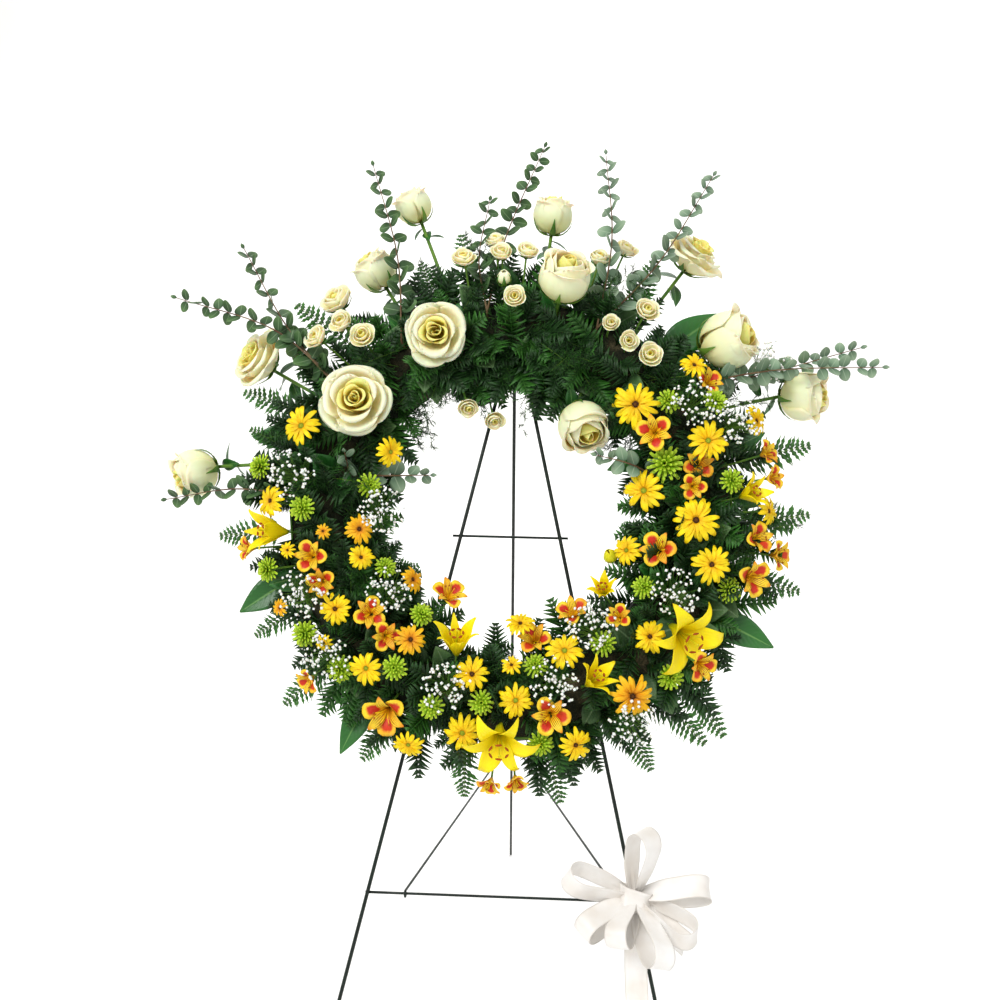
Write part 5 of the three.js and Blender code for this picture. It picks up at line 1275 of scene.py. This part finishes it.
def add_form():
    """The wire form behind the moss: two hoops and their spokes."""
    piece = Piece()
    for radius in (FRAME_INNER_R, FRAME_OUTER_R):
        circle = [polar(radius, a, FRAME_N) for a in np.linspace(0, TURN, 97)]
        piece.tube(circle, WIRE_R, ENAMEL, 10)
    for i in range(6):
        a = (i + 0.5) * pi / 3
        piece.tube([polar(FRAME_INNER_R, a, FRAME_N), polar(FRAME_OUTER_R, a, FRAME_N)], 1.2, ENAMEL, 8)
    piece.make("form_wires", replaces=["wire_form"], slot="wire")


# The ribbon's width and thickness, and where the knot is on the right leg.
RIBBON_W = 27
RIBBON_T = 0.4
BOW_DOWN = 722
BOW_N = 8


def ribbon_strip(line, gather, fold):
    """A ribbon along a line in the XY plane, its width along Z. gather is 0 at the knot and 1 far from it."""
    line = np.asarray(line)
    a = np.linspace(-1, 1, 13)[None, :]
    away = np.gradient(line, axis=0)
    normal = np.stack([-away[:, 1], away[:, 0]], axis=1) / (np.linalg.norm(away, axis=1)[:, None] + 1e-9)
    pinch = (0.42 + 0.58 * gather)[:, None]
    pleat = (1 - gather)[:, None] * 1.8 * np.sin(a * 6.5) + fold * a**2
    x = line[:, :1] + normal[:, :1] * pleat
    y = line[:, 1:] + normal[:, 1:] * pleat
    return np.stack([x, y, a * pinch * RIBBON_W / 2], axis=-1)


def turned_loop(grid, degrees, tilt, spin_angle, centre):
    """A loop's turn about its own line, its tilt out of the plane and its direction."""
    turn = rotation(2, degrees * DEG) @ rotation(1, -tilt) @ rotation(0, spin_angle)
    return grid @ turn.T + centre


def add_bow():
    """Seven loops, two tails and a knot of one ribbon, tied to the right front leg."""
    piece = Piece(plane_to_world)
    centre = on_plane(LEG_SPREAD * BOW_DOWN, BOW_DOWN, BOW_N)
    for k, (degrees, length, tilt) in enumerate(LOOPS):
        half = length / 2
        under = [(3, -1), (half * 0.5, -8), (half * 1.1, -14), (length * 0.82, -16), (length * 0.96, -10)]
        over = [(length, 0), (length * 0.96, 10), (length * 0.82, 15), (half * 1.1, 12), (half * 0.5, 7)]
        line = smooth([*under, *over, (3, 1)], 46)
        gather = np.clip((line[:, 0] - 4) / (half * 0.8), 0, 1) ** 0.7
        grid = ribbon_strip(line, gather, uniform(-1.5, 1.5))
        spin = (0.85 if k % 2 else 2.3) + uniform(-0.12, 0.12)
        piece.sheet(turned_loop(grid, degrees, tilt, spin, centre + 4 * UP_Z), SATIN, thickness=RIBBON_T)
    for degrees, length, wave in TAILS:
        t = np.linspace(0, 1, 34)
        way = polar(1, degrees * DEG, 0)
        side = np.cross(UP_Z, way)
        a = np.linspace(-1, 1, 13)[None, :, None]
        gather = (0.3 + 0.7 * np.clip(t / 0.3, 0, 1))[:, None, None]
        lift = (3 + wave * np.sin(t * TURN) ** 2)[:, None, None]
        notch = 0.08 * np.abs(a) - 0.04
        reach = (t[:, None, None] + notch * np.clip(t * 6 - 5, 0, 1)[:, None, None]) * length
        ripple = (1 - t)[:, None, None] * 1.6 * np.sin(a * 7) + 1.5 * a * np.sin(t * 4)[:, None, None]
        grid = centre + way * reach + side * a * gather * RIBBON_W / 2 + UP_Z * (lift + ripple)
        piece.sheet(grid, SATIN, thickness=RIBBON_T)
    around = [polar(12 + 0.8 * sin(5 * a), a, 0) * vec(1.5, 1, 1) for a in np.linspace(0, TURN, 50)]
    grid = ribbon_strip([p[:2] for p in around], np.full(50, 0.85), -3)
    upright = rotation(2, -0.25) @ rotation(0, -90 * DEG)
    piece.sheet(grid @ upright.T + centre + 13 * UP_Z, SATIN, thickness=RIBBON_T)
    bow = piece.make("satin_bow", replaces=["bow"], slot="satin_ribbon")


# Stage


def add_stage():
    """A pale floor that curves up into a backdrop, and soft lights."""
    look = Look("pale_floor")
    shade = look.ramp(look.noise(3), "0.3:f4f3f1 0.7:f8f7f5")
    look.finish(shade, 0.9, Specular_IOR_Level=0.1)
    t = np.linspace(0, 1, 25)
    bend = [(1.6 + 1.5 * sin(a), 1.5 - 1.5 * cos(a)) for a in t * pi / 2]
    profile = [(-6, 0), *bend, (3.1, 6)]
    mesh = bpy.data.meshes.new("backdrop")
    points = [(x, y, z) for y, z in profile for x in (-7, 7)]
    quads = [(2 * i, 2 * i + 1, 2 * i + 3, 2 * i + 2) for i in range(len(profile) - 1)]
    mesh.from_pydata(points, [], quads)
    mesh.polygons.foreach_set("use_smooth", [True] * len(quads))
    mesh.materials.append(look.material)
    backdrop = bpy.data.objects.new("backdrop", mesh)
    bpy.context.scene.collection.objects.link(backdrop)
    lights = [((-1.7, -3.0, 3.2), (0, -0.6, 0.8), 1.4, 90), ((2.4, -2.6, 2.0), (0, -0.6, 0.8), 2.2, 18),
              ((0.3, 0.9, 3.2), (0, -0.4, 0.9), 2.0, 22), ((0, 0.8, 2.6), (0, 3.1, 1.0), 2.5, 60)]
    for place, aim, size, power in lights:
        light = bpy.data.lights.new("softbox", "AREA")
        light.size, light.energy = size, power
        lamp = bpy.data.objects.new("softbox", light)
        lamp.location = place
        lamp.rotation_euler = (Vector(aim) - Vector(place)).to_track_quat("-Z", "Y").to_euler()
        bpy.context.scene.collection.objects.link(lamp)
    world = bpy.data.worlds.new("studio")
    world.use_nodes = True
    world.node_tree.nodes["Background"].inputs["Color"].default_value = (1, 1, 1, 1)
    world.node_tree.nodes["Background"].inputs["Strength"].default_value = 0.62
    bpy.context.scene.world = world
    bpy.context.scene.view_settings.view_transform = "Standard"


CAMERA_PLACE = [30, -1044.6, 986]
CAMERA_PITCH = -8.4 * DEG
CAMERA_YAW = -2 * DEG
CAMERA_ROLL = 1.07 * DEG
CAMERA_LENS = 35.7


def add_camera():
    data = bpy.data.cameras.new("camera")
    data.lens, data.sensor_width = CAMERA_LENS, 36
    ahead = vec(sin(CAMERA_YAW) * cos(CAMERA_PITCH), cos(CAMERA_YAW) * cos(CAMERA_PITCH),
                sin(CAMERA_PITCH))
    right = unit(np.cross(ahead, UP_Z))
    up = np.cross(right, ahead)
    columns = np.array([right, up, -ahead]).T @ rotation(2, CAMERA_ROLL)
    camera = bpy.data.objects.new("camera", data)
    place = Matrix.Translation(Vector(floor_to_world(CAMERA_PLACE)))
    camera.matrix_world = place @ Matrix(columns.tolist()).to_4x4()
    bpy.context.scene.collection.objects.link(camera)
    bpy.context.scene.camera = camera


add_camera()
add_stage()
add_easel()
add_form()
add_moss()
add_roses()
add_sprays()
add_babys_breath()
add_eucalyptus()
add_greens()
add_needles()
add_bow()
for tie in ("tie_left", "tie_right"):
    frame["nodes"][tie].data.materials.clear()
    frame["nodes"][tie].data.materials.append(ENAMEL)
